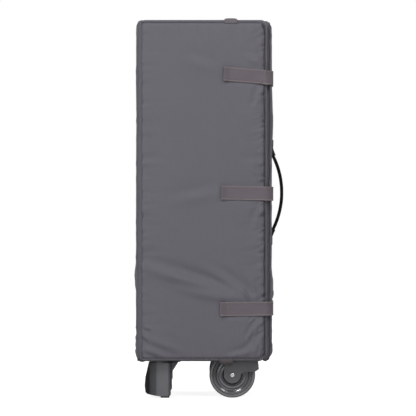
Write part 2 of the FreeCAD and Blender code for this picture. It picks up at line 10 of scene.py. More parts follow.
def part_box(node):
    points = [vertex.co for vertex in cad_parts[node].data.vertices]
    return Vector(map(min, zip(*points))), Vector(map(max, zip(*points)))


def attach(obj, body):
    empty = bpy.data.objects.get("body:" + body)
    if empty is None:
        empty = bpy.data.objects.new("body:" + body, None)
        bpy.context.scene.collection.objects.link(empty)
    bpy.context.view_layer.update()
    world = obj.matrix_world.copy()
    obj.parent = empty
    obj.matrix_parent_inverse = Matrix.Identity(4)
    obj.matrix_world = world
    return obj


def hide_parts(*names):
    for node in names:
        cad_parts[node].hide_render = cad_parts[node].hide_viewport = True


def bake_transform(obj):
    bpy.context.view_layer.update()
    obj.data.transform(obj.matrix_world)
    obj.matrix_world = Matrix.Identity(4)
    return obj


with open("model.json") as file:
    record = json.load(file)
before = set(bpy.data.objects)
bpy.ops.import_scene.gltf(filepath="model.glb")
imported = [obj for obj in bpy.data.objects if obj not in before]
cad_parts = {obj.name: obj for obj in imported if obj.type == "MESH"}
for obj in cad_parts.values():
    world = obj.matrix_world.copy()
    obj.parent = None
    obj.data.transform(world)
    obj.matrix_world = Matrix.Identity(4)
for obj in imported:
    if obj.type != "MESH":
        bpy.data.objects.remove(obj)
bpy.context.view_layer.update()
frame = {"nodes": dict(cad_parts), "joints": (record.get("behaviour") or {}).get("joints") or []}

# ---------------------------------------------------------------- places, from the CAD boxes

FRONT_LOW, FRONT_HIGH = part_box("mattress_front_cover")
RIGHT_LOW, RIGHT_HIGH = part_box("mattress_right_cover")
WRAP_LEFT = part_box("mattress_left_cover")[0].x
WRAP_RIGHT = RIGHT_HIGH.x
WRAP_FRONT = FRONT_LOW.y
WRAP_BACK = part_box("mattress_back_cover")[1].y
WRAP_BASE = FRONT_LOW.z
WRAP_TOP = FRONT_HIGH.z
HEIGHT = WRAP_TOP - WRAP_BASE
DEPTH = FRONT_HIGH.y - FRONT_LOW.y
MIDDLE_X = (WRAP_LEFT + WRAP_RIGHT) / 2
MIDDLE_Y = (WRAP_FRONT + WRAP_BACK) / 2
RIGHT_START = RIGHT_LOW.y
ALONG_X, ALONG_Y, UP = Vector((1, 0, 0)), Vector((0, 1, 0)), Vector((0, 0, 1))


# ---------------------------------------------------------------- materials

def srgb(red, green, blue):
    """A colour given on the usual 0 to 255 scale, in the linear values that the shaders take."""
    def linear(level):
        share = level / 255
        return share / 12.92 if share <= 0.04045 else ((share + 0.055) / 1.055) ** 2.4
    return (linear(red), linear(green), linear(blue), 1.0)


def shade(colour, factor):
    return tuple(min(1.0, c * factor) for c in colour[:3]) + (1.0,)


def add_node(tree, kind, settings=(), **inputs):
    """Add a shader node. Its inputs are named by socket, or by i and a number, and are given as
    constant values or as the sockets that they are linked to."""
    made = tree.nodes.new("ShaderNode" + kind)
    for key, setting in settings:
        setattr(made, key, setting)
    for key, given in inputs.items():
        socket = made.inputs[int(key[1:]) if key[0] == "i" and key[1:].isdigit() else key]
        if isinstance(given, bpy.types.NodeSocket):
            tree.links.new(given, socket)
        else:
            socket.default_value = given
    return made


class Shader:
    """A small helper that builds one procedural material."""

    def __init__(self, name, roughness, metallic=0.0, sheen=0.0, specular=0.5, coat=0.0):
        self.material = bpy.data.materials.new(name)
        self.material.use_nodes = True
        self.tree = self.material.node_tree
        self.surface = self.tree.nodes["Principled BSDF"]
        for socket, level in (("Roughness", roughness), ("Metallic", metallic), ("Sheen Weight", sheen),
                              ("Sheen Roughness", 0.4), ("Specular IOR Level", specular),
                              ("Coat Weight", coat), ("Coat Roughness", 0.15)):
            self.surface.inputs[socket].default_value = level
        self.place = self.node("TexCoord").outputs["Object"]
        self.last_bump = None

    def node(self, kind, settings=(), **inputs):
        return add_node(self.tree, kind, settings, **inputs)

    def feed(self, given, socket):
        """Link a socket to one of the surface's own."""
        self.tree.links.new(given, self.surface.inputs[socket])

    def noise(self, scale, detail=3.0, stretch=(1, 1, 1), roughness=0.5):
        stretched = self.node("Mapping", Vector=self.place, Scale=stretch).outputs["Vector"]
        return self.node("TexNoise", Vector=stretched, Scale=scale, Detail=detail,
                         Roughness=roughness).outputs["Fac"]

    def maths(self, operation, first, second=0.5):
        return self.node("Math", [("operation", operation)], i0=first, i1=second).outputs[0]

    def ramp(self, level, stops):
        """A colour that follows a level, through (position, colour) stops."""
        made = self.node("ValToRGB", Fac=level)
        elements = made.color_ramp.elements
        for i, (position, colour) in enumerate(stops):
            element = elements[i] if i < 2 else elements.new(position)
            element.position = position
            element.color = colour
        return made.outputs["Color"]

    def tones(self, level, colour, dark, light, start=0.3, end=0.7):
        """A colour that a level makes darker and lighter."""
        return self.ramp(level, ((start, shade(colour, dark)), (end, shade(colour, light))))

    def painted_shade_across(self, shade_bands):
        """A painted shade: a tone that changes with the place across the object, through (x, tone) pairs."""
        first, last = shade_bands[0][0], shade_bands[-1][0]
        across = self.node("SeparateXYZ", Vector=self.place).outputs["X"]
        share = self.maths("DIVIDE", self.maths("SUBTRACT", across, first), last - first)
        stops = [((x - first) / (last - first), (tone, tone, tone, 1.0)) for x, tone in shade_bands]
        return self.ramp(share, stops)

    def mix(self, share, first, second, blend="MIX"):
        settings = [("data_type", "RGBA"), ("blend_type", blend)]
        return self.node("Mix", settings, i0=share, i6=first, i7=second).outputs[2]

    def rough(self, level, low, high):
        made = self.node("MapRange", Value=level, **{"To Min": low, "To Max": high})
        self.feed(made.outputs[0], "Roughness")

    def bump(self, level, distance):
        """Raise the surface by a level, on top of the bumps that it has."""
        made = self.node("Bump", Height=level, Distance=distance, Strength=1.0)
        if self.last_bump:
            self.tree.links.new(self.last_bump, made.inputs["Normal"])
        self.last_bump = made.outputs["Normal"]
        self.feed(self.last_bump, "Normal")

    def threads(self, pitch, along):
        """A wave that repeats at the pitch, along a direction."""
        dot = self.node("VectorMath", [("operation", "DOT_PRODUCT")], i0=self.place, i1=along)
        angle = self.maths("MULTIPLY", dot.outputs["Value"], 2 * math.pi / pitch)
        return self.maths("SINE", angle, 0.0)


LEVEL_WAY = (1, 1, 0)
UPRIGHT_WAY = (0, 0, 1)


def nylon(name, colour, pitch=0.0009):
    """Smooth coated polyester: a fine plain weave, a soft sheen and faint handling marks."""
    shader = Shader(name, 0.62, sheen=0.10, specular=0.30)
    crossed = shader.maths("MULTIPLY", shader.threads(pitch, UPRIGHT_WAY), shader.threads(pitch, LEVEL_WAY))
    shader.bump(crossed, 0.00006)
    clouds = shader.noise(7.0, 4.0, (1, 1, 0.6))
    base = shader.tones(clouds, colour, 0.95, 1.05)
    fine = shader.tones(shader.noise(900.0, 2.0, (1, 1, 0.08)), colour, 0.93, 1.07, 0.35, 0.65)
    thread = shader.tones(crossed, colour, 0.94, 1.05, 0.2, 0.8)
    shader.feed(shader.mix(0.35, shader.mix(0.4, base, fine), thread), "Base Color")
    shader.rough(clouds, 0.56, 0.68)
    shader.bump(shader.noise(160.0, 3.0), 0.00012)
    return shader.material


def webbing(name, colour, edge, along=LEVEL_WAY, pitch=0.0016, sheen=0.12):
    """Woven tape: ribs across its width and slightly fuzzy yarn."""
    shader = Shader(name, 0.8, sheen=sheen, specular=0.2)
    ribs = shader.threads(pitch, along)
    rows = shader.threads(pitch * 1.5, UPRIGHT_WAY)
    shader.bump(shader.maths("ADD", ribs, shader.maths("MULTIPLY", rows, 0.6)), 0.00012)
    fuzz = shader.noise(1200.0, 2.0)
    base = shader.tones(shader.noise(30.0, 3.0), colour, 0.93, 1.06)
    yarn = shader.ramp(fuzz, ((0.3, shade(colour, 0.8)), (0.75, shade(edge, 1.05))))
    shader.feed(shader.mix(0.35, base, yarn), "Base Color")
    shader.bump(fuzz, 0.00008)
    return shader.material


def moulded(name, colour, roughness, grain=0.00004, coat=0.0, shade_bands=None):
    """Moulded plastic: a fine spark-eroded grain, faint flow marks and scuffs. The shade bands are
    painted shade: the tones of its stretches across, as (x, tone) pairs, laid over its colour."""
    shader = Shader(name, roughness, coat=coat)
    marks = shader.noise(140.0, 5.0, (1, 1, 0.3), 0.7)
    base = shader.tones(shader.noise(18.0, 4.0), colour, 0.92, 1.08)
    finished = shader.mix(0.12, base, shader.tones(marks, colour, 0.9, 1.35, 0.55, 0.85))
    # Painted shade, in bands that darken stretches across the piece.
    if shade_bands:
        finished = shader.mix(1.0, finished, shader.painted_shade_across(shade_bands), "MULTIPLY")
    shader.feed(finished, "Base Color")
    shader.rough(marks, max(0.05, roughness - 0.08), min(1.0, roughness + 0.1))
    shader.bump(shader.noise(2600.0, 2.0), grain)
    return shader.material


def metal(name, colour, roughness, painted=False):
    """Bare metal with streaks along the Y direction, or paint with streaks down it."""
    shader = Shader(name, roughness, metallic=0.0 if painted else 1.0, coat=0.25 if painted else 0.0)
    streaks = shader.noise(260.0, 4.0, (1, 1, 0.06) if painted else (1, 0.08, 1))
    base = shader.tones(shader.noise(24.0, 3.0), colour, 0.93, 1.06)
    shader.feed(shader.mix(0.3, base, shader.tones(streaks, colour, 0.9, 1.1)), "Base Color")
    shader.rough(streaks, max(0.08, roughness - 0.07), roughness + 0.1)
    shader.bump(shader.noise(1500.0, 2.0), 0.00002)
    return shader.material


def foam_material():
    shader = Shader("open_cell_foam", 0.95, specular=0.2)
    cells = shader.node("TexVoronoi", Vector=shader.place, Scale=700.0).outputs["Distance"]
    shader.feed(shader.ramp(cells, ((0.0, srgb(190, 182, 160)), (0.6, srgb(228, 221, 202)))), "Base Color")
    shader.bump(cells, 0.0006)
    return shader.material


def board_material():
    shader = Shader("pressed_board", 0.85, specular=0.25)
    fibres = shader.noise(420.0, 5.0, (1, 1, 0.25), 0.65)
    shader.feed(shader.ramp(fibres, ((0.35, srgb(120, 92, 64)), (0.7, srgb(170, 138, 100)))), "Base Color")
    shader.bump(fibres, 0.0002)
    return shader.material


# Painted shade: the feet are darker on their outer facets and towards the wheels, where shade falls.
FOOT_PAINTED_SHADE = ((-0.1255, 0.02), (-0.1190, 0.03), (-0.1165, 0.36), (-0.1062, 0.42), (-0.1030, 1.0),
              (-0.0800, 1.0), (-0.0785, 0.45), (-0.0500, 0.35))
STRAP_EDGE = srgb(132, 123, 127)
TAB_YARN = srgb(112, 104, 105)

MATERIALS = {
    "wrap": nylon("wrap_nylon", srgb(106, 104, 112)),
    # A darker copy of the wrap's nylon for the strips that turn the corners away from the light: painted
    # shade.
    "fold": nylon("fold_nylon_painted_shade", srgb(98, 96, 104)),
    "inside": nylon("inside_cloth", srgb(120, 118, 124), 0.0012),
    # The piping's darker tone at the free edges is painted shade; the soft piping is the same cord's own
    # tone.
    "piping": nylon("piping_cloth", srgb(84, 82, 89), 0.0008),
    # Painted shade: a dark cord sunk in the seam's valley stands for the shadow line there, with a fainter
    # copy on the folds and level edges.
    "painted_shade_line": nylon("seam_furrow_cloth", srgb(48, 47, 52), 0.0008),
    "soft_piping": nylon("soft_piping_cloth", srgb(103, 101, 108), 0.0008),
    "soft_painted_shade_line": nylon("soft_painted_shade_cloth", srgb(92, 90, 97), 0.0008),
    "walls": nylon("wall_cloth", srgb(84, 83, 88), 0.0011),
    "strap": webbing("strap_webbing", srgb(109, 102, 109), STRAP_EDGE),
    "strap_edge": webbing("strap_selvedge", STRAP_EDGE, srgb(150, 139, 140), pitch=0.0012),
    "tab": webbing("tab_webbing", srgb(92, 86, 88), TAB_YARN),
    # A lighter copy of the tab webbing for the upper loop, which sits on top in the light: painted light.
    "painted_light_tab": webbing("painted_light_tab_webbing", srgb(114, 109, 114), srgb(130, 124, 128)),
    "tab_edge": webbing("tab_selvedge", srgb(94, 88, 89), TAB_YARN, pitch=0.0012),
    "hook": webbing("hook_and_loop", srgb(78, 74, 78), srgb(96, 90, 94), pitch=0.0011),
    "stitch": webbing("sewing_thread", srgb(126, 117, 120), srgb(146, 136, 138), (1, 1, 1), 0.0005),
    "dark_stitch": webbing("dark_thread", srgb(60, 58, 62), srgb(80, 78, 82), (1, 1, 1), 0.0005),
    "handle": webbing("handle_webbing", srgb(24, 23, 25), srgb(48, 46, 48), (0, 1, 1), 0.0013, 0.1),
    "net": webbing("wall_net", srgb(58, 58, 62), srgb(84, 84, 90), pitch=0.0018, sheen=0.1),
    "paint": metal("leg_paint", srgb(70, 70, 74), 0.38, painted=True),
    "steel": metal("zinc_plate", srgb(205, 206, 208), 0.28),
    "rivet": metal("rivet_steel", srgb(225, 228, 230), 0.22),
    "frame": moulded("frame_plastic", srgb(64, 64, 67), 0.5),
    "fork": moulded("fork_plastic", srgb(84, 84, 88), 0.36),
    # The foot's colour carries painted shade bands on its outer facets and towards the wheels.
    "foot": moulded("foot_plastic", srgb(99, 100, 104), 0.32, shade_bands=FOOT_PAINTED_SHADE),
    "button": moulded("button_plastic", srgb(150, 150, 152), 0.45),
    "disc": moulded("wheel_plastic", srgb(66, 67, 72), 0.20, 0.00001, 1.0),
    "tyre": moulded("tyre_rubber", srgb(112, 111, 113), 0.34, 0.00002, 0.25),
    "sole": moulded("sole_rubber", srgb(38, 38, 40), 0.85),
    "foam": foam_material(),
    "board": board_material(),
}


def paint(obj, *names):
    obj.data.materials.clear()
    for name in names:
        obj.data.materials.append(MATERIALS[name])


# ---------------------------------------------------------------- mesh helpers

def mesh_object(name, points, faces, *materials):
    mesh = bpy.data.meshes.new(name)
    mesh.from_pydata([tuple(p) for p in points], [], faces)
    mesh.validate()
    made = bpy.data.objects.new(name, mesh)
    bpy.context.scene.collection.objects.link(made)
    mesh.polygons.foreach_set("use_smooth", [True] * len(mesh.polygons))
    if materials:
        paint(made, *materials)
    return made


def grid_faces(columns, rows):
    """Faces of a grid of points that is numbered row by row."""
    starts = [j * columns + i for j in range(rows - 1) for i in range(columns - 1)]
    return [[a, a + 1, a + columns + 1, a + columns] for a in starts]


def rim_pairs(columns, rows):
    """Neighbouring places round the rim of a grid that is numbered row by row."""
    rim = list(range(columns))
    rim += [j * columns + columns - 1 for j in range(1, rows)]
    rim += [(rows - 1) * columns + i for i in range(columns - 2, -1, -1)]
    rim += [j * columns for j in range(rows - 2, 0, -1)]
    return list(zip(rim, rim[1:] + rim[:1]))


def layered_faces(columns, rows):
    """Faces of two like grids of points, the second behind the first, joined round the rim."""
    span = rows * columns
    faces = []
    for face in grid_faces(columns, rows):
        a, b, c, d = face
        faces += [face, [a + span, d + span, c + span, b + span]]
    for here, there in rim_pairs(columns, rows):
        faces.append([there, here, here + span, there + span])
    return faces


def sleeve_faces(rings, sides, closed=False, first=0):
    """Faces that join rings of points one after another, with both ends capped or run together."""
    faces = []
    for i in range(rings if closed else rings - 1):
        a, b = first + i * sides, first + (i + 1) % rings * sides
        for k in range(sides):
            following = (k + 1) % sides
            faces.append([a + k, a + following, b + following, b + k])
    if not closed:
        faces.append([first + k for k in range(sides)][::-1])
        faces.append([first + (rings - 1) * sides + k for k in range(sides)])
    return faces


def tidy(obj):
    """Merge doubled points and turn all faces outwards."""
    work = bmesh.new()
    work.from_mesh(obj.data)
    bmesh.ops.remove_doubles(work, verts=work.verts, dist=1e-7)
    bmesh.ops.recalc_face_normals(work, faces=work.faces)
    work.to_mesh(obj.data)
    work.free()
    return obj


def apply_modifiers(obj):
    """Replace the object's mesh by what its modifiers make of it."""
    graph = bpy.context.evaluated_depsgraph_get()
    made = bpy.data.meshes.new_from_object(obj.evaluated_get(graph))
    obj.modifiers.clear()
    obj.data = made


def finish_piece(obj, body, slot, *nodes):
    """Hide the CAD nodes a piece stands for and, unless it bends, attach it to its body. Its slot is not
    used.
    """
    if nodes:
        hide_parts(*nodes)
    if body:
        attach(obj, body)
    return obj


def surface_finder(obj):
    return BVHTree.FromObject(obj, bpy.context.evaluated_depsgraph_get())


def wave(x, y, seed):
    return noise.noise(Vector((x, y, seed)))


def clamped(share):
    return min(1.0, max(0.0, share))


# ---------------------------------------------------------------- camera and light

VIEW_WIDTH = 0.800
CAMERA_DISTANCE = 5.0
CAMERA_X = -0.0051
CAMERA_HEIGHT = 0.3675
SENSOR = 0.036
LIGHT_AIM = Vector((0, 0, 0.38))
LIGHTS = (
    # Name, place, size, power.
    ("key", (-1.2, -2.5, 2.9), 0.9, 54),
    ("fill", (1.4, -3.0, 2.0), 0.8, 15),
    ("back_left", (-2.6, 2.4, 1.8), 1.6, 26),
    ("back_right", (2.6, 2.4, 1.8), 1.6, 34),
)
# The room's own light: from all round, and what it has more of from straight in front.
ROOM_LIGHT = 0.20
FRONT_LIGHT = 1.9
FRONT_FOCUS = 6.0
FLOOR_REACH = 9.0
FLOOR_GLOW = 0.86


def camera_and_light():
    """A long lens, level with the middle of the bundle and square on to its front panel."""
    lens = bpy.data.cameras.new("camera")
    lens.sensor_width = SENSOR * 1000
    lens.lens = SENSOR * 1000 * CAMERA_DISTANCE / VIEW_WIDTH
    lens.clip_end = 60
    camera = bpy.data.objects.new("camera", lens)
    bpy.context.scene.collection.objects.link(camera)
    camera.location = (CAMERA_X, WRAP_FRONT - CAMERA_DISTANCE, CAMERA_HEIGHT)
    camera.rotation_euler = (math.pi / 2, 0, 0)
    bpy.context.scene.camera = camera
    for name, place, size, power in LIGHTS:
        lamp = bpy.data.lights.new(name, "AREA")
        lamp.shape = "DISK"
        lamp.size = size
        lamp.energy = power
        holder = bpy.data.objects.new(name, lamp)
        bpy.context.scene.collection.objects.link(holder)
        holder.location = place
        holder.rotation_euler = (LIGHT_AIM - Vector(place)).to_track_quat("-Z", "Y").to_euler()
    bpy.context.scene.view_settings.view_transform = "Standard"


def white_room():
    """A room that is white to look at, and gives a soft light that is stronger from the front."""
    world = bpy.data.worlds.new("studio")
    world.use_nodes = True
    bpy.context.scene.world = world
    tree = world.node_tree
    seen = tree.nodes["Background"]
    seen.inputs["Color"].default_value = (1, 1, 1, 1)
    seen.inputs["Strength"].default_value = 1.0
    way = add_node(tree, "TexCoord").outputs["Generated"]
    front = add_node(tree, "VectorMath", [("operation", "DOT_PRODUCT")], i0=way, i1=(0, -1, 0))
    positive = add_node(tree, "Math", [("operation", "MAXIMUM")], i0=front.outputs["Value"], i1=0.0)
    focused = add_node(tree, "Math", [("operation", "POWER")], i0=positive.outputs[0], i1=FRONT_FOCUS)
    total = add_node(tree, "Math", [("operation", "MULTIPLY_ADD")], i0=focused.outputs[0], i1=FRONT_LIGHT,
                     i2=ROOM_LIGHT)
    lit = add_node(tree, "Background", Color=(1, 1, 1, 1), Strength=total.outputs[0])
    rays = add_node(tree, "LightPath")
    seen_first = rays.outputs["Is Camera Ray"]
    either = add_node(tree, "MixShader", i0=seen_first, i1=lit.outputs[0], i2=seen.outputs[0])
    tree.links.new(either.outputs[0], tree.nodes["World Output"].inputs["Surface"])


def studio_floor():
    """A plain floor, white to look at, with faint shadows under the feet and wheels."""
    corners = ((-1, -1), (1, -1), (1, 1), (-1, 1))
    points = [(FLOOR_REACH * x, FLOOR_REACH * y, 0) for x, y in corners]
    floor = mesh_object("studio_floor", points, [(0, 1, 2, 3)])
    shader = Shader("studio_paint", 0.9, specular=0.1)
    shader.surface.inputs["Base Color"].default_value = (0.5, 0.5, 0.5, 1)
    shader.surface.inputs["Emission Color"].default_value = (1, 1, 1, 1)
    rays = shader.node("LightPath")
    shader.feed(shader.maths("MULTIPLY", rays.outputs["Is Camera Ray"], FLOOR_GLOW), "Emission Strength")
    floor.data.materials.append(shader.material)


# ---------------------------------------------------------------- CAD nodes with better materials

CAD_FINISH = {
    "leg_": "paint", "rail_": "paint", "floor_bars": "paint", "corner_bracket_": "frame",
    "latch_housing_": "frame", "floor_hub": "frame", "latch_button_": "button", "latch_springs": "steel",
    "hinge_pins": "steel", "wheel_axles": "steel", "foot_front": "foot", "foot_back": "foot",
    "foot_soles": "sole", "wheel_fork_": "fork", "wheel_disc_": "disc", "tyre_": "tyre",
    "folded_walls": "walls", "hub_pull_tab": "strap", "strap_": "strap", "webbing_tabs": "strap",
    "handle_": "handle",
}
MATTRESS_FINISH = {"cover": "wrap", "foam": "foam", "board": "board"}


def paint_cad_nodes():
    for name, node in frame["nodes"].items():
        if name.startswith("mattress_"):
            paint(node, MATTRESS_FINISH[name.rsplit("_", 1)[1]])
        else:
            paint(node, next(finish for start, finish in CAD_FINISH.items() if name.startswith(start)))


# ---------------------------------------------------------------- where things lie on the wrap

def joint_place(name):
    return Vector(next(joint["pos_m"] for joint in frame["joints"] if joint["name"] == name))


class Strap:
    """One closing strap: where its free end is, and the heights at that end and at the corner."""

    def __init__(self, name, lift):
        low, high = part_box("strap_" + name)
        self.name = name
        self.lift = lift
        self.hinge = joint_place("strap_%s_peel" % name)
        self.end_x = low.x
        self.corner_z = self.hinge.z
        self.end_z = low.z + high.z - self.corner_z

    def height_at(self, x):
        share = (self.hinge.x - x) / (self.hinge.x - self.end_x)
        return self.corner_z + (self.end_z - self.corner_z) * clamped(share)


STRAPS = [Strap("top", 0.0030), Strap("middle", 0.0022), Strap("lower", 0.0026)]
ANCHOR_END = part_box("strap_anchors")[1].y
STRAP_WIDTH = 0.027
STRAP_THICKNESS = 0.002


class Panel:
    """A mattress panel's own frame: u along it from its start, v inwards from its outer face, z up."""

    def __init__(self, name, body, start, along, inward, length, fold_start, fold_end, seed,
                 edge_round=0.010):
        self.name = name
        self.body = body
        self.start = Vector((*start, 0))
        self.along = Vector((*along, 0))
        self.inward = Vector((*inward, 0))
        self.length = length
        self.fold_start = fold_start
        self.fold_end = fold_end
        self.seed = seed
        self.edge_round = edge_round
        self.creases = []

    def place(self, u, v, z):
        return self.start + self.along * u + self.inward * v + Vector((0, 0, z))

    def edge_distance(self, u):
        """How far a place along the panel is from its nearer end."""
        return min(u, self.length - u)


PANELS = {
    "front": Panel("front", "mattress_front", (WRAP_LEFT, WRAP_FRONT), (1, 0), (0, 1),
                   FRONT_HIGH.x - WRAP_LEFT, True, False, 3.0),
    "left": Panel("left", "mattress_left", (WRAP_LEFT, WRAP_BACK), (0, -1), (1, 0),
                  WRAP_BACK - WRAP_FRONT, True, True, 17.0),
    "back": Panel("back", "root", (WRAP_RIGHT, WRAP_BACK), (-1, 0), (0, -1),
                  WRAP_RIGHT - WRAP_LEFT, True, True, 31.0),
    "right": Panel("right", "mattress_right", (WRAP_RIGHT, RIGHT_START), (0, 1), (-1, 0),
                   WRAP_BACK - RIGHT_START, False, True, 45.0, 0.0145),
}

# ---------------------------------------------------------------- the panels' cloth

# A panel's grid of points: places near an edge, and the steps between them.
NEAR_EDGE = (0.0, 0.0003, 0.0011, 0.0024, 0.0041, 0.0062, 0.0086)
GRID_STEP = 0.0045
FRONT_STEP = 0.0024
# The outline: round corners, and a mitre at each fold, which fades out over its reach.
FREE_CORNER = 0.012
FOLD_CORNER = 0.007
LOW_CORNER_SHARE = 1.5
MITRE_GAP = 0.0012
MITRE_REACH = 0.085
FACE_SET_BACK = 0.0008
RIM_FADE = 0.004
# The seam: how far it is from the panel's edges, by the way that they run.
SEAM_FOLD = 0.0086
SEAM_EDGE = 0.0065
SEAM_LEVEL = 0.0038
SEAM_BLEND = 0.012
SEAM_VALLEY = 0.0024
VALLEY_HALF = 0.0028
CROWN = 0.0026
CROWN_REACH = 0.030
# Gathers at the seams, and the cloth's waves: how high, how long along and up it, and the seed.
PUCKER = 0.0011
PUCKER_REACH = 0.020
TIGHT_PUCKER = 0.0040
TIGHT_REACH = 0.009
BROAD_WAVES = ((0.0009, 0.085, 0.15, 20), (0.0005, 0.035, 0.05, 30), (0.00022, 0.012, 0.016, 40))
BROAD_FADE = 0.02
# What the straps do: the crown that they press flat, and the pull at the corner that they turn.
STRAP_PRESS = 0.72
PRESS_HALF = 0.0165
PULL_HALF = 0.024
PULL_REACH = 0.022
PULL_DEPTH = 0.0022
PRESS_RUN = 0.012
# The right panel's tucked low edge, and its fullness between the upper strap and the handle.
LOW_TUCK = 0.0055
LOW_TUCK_HEIGHT = 0.0125
FULL_RISE = 0.0024
FULL_HEIGHT = 0.535
FULL_SPREAD = 0.050
# The front panel's low edge hangs a little short of the others'.
LOW_LIFT = 0.0021
LOW_LIFT_REACH = 0.050
# The board, which the cloth stays clear of.
BOARD_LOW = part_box("mattress_front_board")[0]
FILLING_INSET = BOARD_LOW.z - WRAP_BASE
BOARD_DEPTH = BOARD_LOW.y - WRAP_FRONT - 0.0005


def steps_across(length, step):
    """Places along one side of a panel: close together at both edges, even between them."""
    first = NEAR_EDGE[-1]
    count = round((length - 2 * first) / step)
    middle = [first + (length - 2 * first) * i / count for i in range(1, count)]
    return [*NEAR_EDGE, *middle, *(length - n for n in reversed(NEAR_EDGE))]


def outline_point(panel, u, z):
    """Move a grid point near a corner of the rectangle so that the corner is round.

    Returns the moved point and how far inside the outline it is."""
    at_start, at_base = u < panel.length / 2, z < HEIGHT / 2
    corner = FOLD_CORNER if (panel.fold_start if at_start else panel.fold_end) else FREE_CORNER
    if at_base:
        corner *= LOW_CORNER_SHARE
    sign_u, sign_z = -1 if at_start else 1, -1 if at_base else 1
    centre_u = corner if at_start else panel.length - corner
    centre_z = corner if at_base else HEIGHT - corner
    across = sign_u * (u - centre_u) / corner
    up = sign_z * (z - centre_z) / corner
    if across <= 0 or up <= 0:
        return u, z, min(panel.edge_distance(u), z, HEIGHT - z)
    reach = max(across, up)
    share = reach / math.hypot(across, up) * corner
    return centre_u + sign_u * across * share, centre_z + sign_z * up * share, corner * (1 - reach)


def bump_of_crease(u, z, crease):
    """Height of one soft crease: a ridge with a valley beside it, fading at both ends."""
    (u0, z0), (u1, z1), width, height = crease
    run_u, run_z = u1 - u0, z1 - z0
    size = math.hypot(run_u, run_z)
    along = ((u - u0) * run_u + (z - z0) * run_z) / size ** 2
    if not -0.15 < along < 1.15:
        return 0.0
    across = ((u - u0) * run_z - (z - z0) * run_u) / size / width
    fade = math.sin(math.pi * clamped((along + 0.15) / 1.3)) ** 1.5
    return height * fade * (math.exp(-across ** 2) - 0.75 * math.exp(-(across - 1.5) ** 2))


def press_of_straps(panel, u, z):
    """How much of the padding's crown is left under a strap (1 where there is none), and how hard
    the strap pulls the cloth in where it goes round the corner."""
    left, pull = 1.0, 0.0
    for strap in STRAPS:
        if panel.name == "front":
            x = WRAP_LEFT + u
            height = strap.height_at(x)
            past_end = x - strap.end_x
            to_corner = panel.length - u
        elif panel.name == "right":
            height = strap.corner_z
            past_end = ANCHOR_END - RIGHT_START - u
            to_corner = u
        else:
            return left, pull
        off = z + WRAP_BASE - height
        band = math.exp(-(off / PRESS_HALF) ** 4) * clamped((past_end + PRESS_RUN / 2) / PRESS_RUN)
        left = min(left, 1 - STRAP_PRESS * band)
        pull = max(pull, math.exp(-to_corner / PULL_REACH) * math.exp(-(off / PULL_HALF) ** 2))
    return left, pull


def tight_gathers(panel, u, z, pull):
    """Gathers where the stitching holds the front panel's loose edge, hardest beside the straps."""
    to_edge = panel.length - u
    held = 0.6 + 0.9 * max(0.0, wave(z / 0.06, 0.7, panel.seed + 50) + 0.2) + 1.2 * pull
    ridge = 0.5 - 2.0 * abs(wave(z / 0.0105 + to_edge / 0.020, to_edge / 0.05, panel.seed + 55))
    return (TIGHT_PUCKER * held * ridge * math.exp(-max(0.0, to_edge - 0.006) / TIGHT_REACH)
            * min(1.0, panel.edge_distance(u) / RIM_FADE))


def relief(panel, u, z, edge, outer):
    """How far the cloth stands out of the panel's flat face: crown, seam, gathers and creases."""
    seed = panel.seed + (0 if outer else 100)
    start_edge = panel.edge_distance(u)
    level_edge = min(z, HEIGHT - z)
    level_share = clamped(0.5 + (start_edge - level_edge) / SEAM_BLEND)
    seam = SEAM_EDGE + (SEAM_LEVEL + 0.0010 - SEAM_EDGE) * level_share
    inside = max(0.0, edge - seam)
    crown = CROWN * (1 - math.exp(-inside / CROWN_REACH))
    valley = -SEAM_VALLEY * math.exp(-((edge - seam) / VALLEY_HALF) ** 2)
    along, far = (z, start_edge) if start_edge < level_edge else (u, level_edge)
    left, pull = press_of_straps(panel, u, z) if outer else (1.0, 0.0)
    gather = 0.9 * wave(along / 0.011, far / 0.055, seed) + 0.9 * wave(along / 0.024, far / 0.09, seed + 5)
    gather += 1.5 * (0.22 - abs(wave(along / 0.017, far / 0.060, seed + 13)))
    strength = 0.90 + 1.10 * max(0.0, wave(along / 0.09, 0.3, seed + 9) + 0.25) + 1.8 * pull
    pucker = PUCKER * strength * gather * math.exp(-max(0.0, far - seam) / PUCKER_REACH)
    pucker *= min(1.0, far / RIM_FADE)
    if panel.name == "front" and outer:
        pucker += tight_gathers(panel, u, z, pull)
    broad = sum(rise * wave(u / wide, z / tall, seed + more) for rise, wide, tall, more in BROAD_WAVES)
    soft = crown + valley + pucker + broad * min(1.0, inside / BROAD_FADE) - PULL_DEPTH * pull
    if outer:
        soft += sum(bump_of_crease(u, z, crease) for crease in panel.creases)
    if outer and panel.name == "right":
        soft -= LOW_TUCK * max(0.0, 1 - z / LOW_TUCK_HEIGHT) ** 2
        full = math.exp(-((z + WRAP_BASE - FULL_HEIGHT) / FULL_SPREAD) ** 2)
        soft += FULL_RISE * full * min(1.0, inside / RIM_FADE)
    soft *= left
    if inside > FILLING_INSET - seam - 0.002:
        soft = max(soft, FACE_SET_BACK - BOARD_DEPTH)
    return soft


def lifted(panel, z):
    """A height on a panel's cloth, with the front panel's lifted low edge."""
    if panel.name != "front":
        return z
    return z + LOW_LIFT * max(0.0, 1 - z / LOW_LIFT_REACH) ** 2


def cloth_point(panel, u0, z0, outer):
    """The place of one point of the panel's grid, on its outer or its inner face."""
    u, z, edge = outline_point(panel, u0, z0)
    round_off = math.sqrt(max(0.0, 1 - (1 - min(edge, panel.edge_round) / panel.edge_round) ** 2))
    half = (DEPTH / 2 - FACE_SET_BACK) * round_off
    half += relief(panel, u, z, edge, outer) * min(1.0, edge / RIM_FADE)
    v = DEPTH / 2 + (-half if outer else half)
    if panel.fold_start:
        u += (v + MITRE_GAP) * max(0.0, 1 - u / MITRE_REACH)
    if panel.fold_end:
        u -= (v + MITRE_GAP) * max(0.0, 1 - (panel.length - u) / MITRE_REACH)
    return panel.place(u, v, WRAP_BASE + lifted(panel, z))


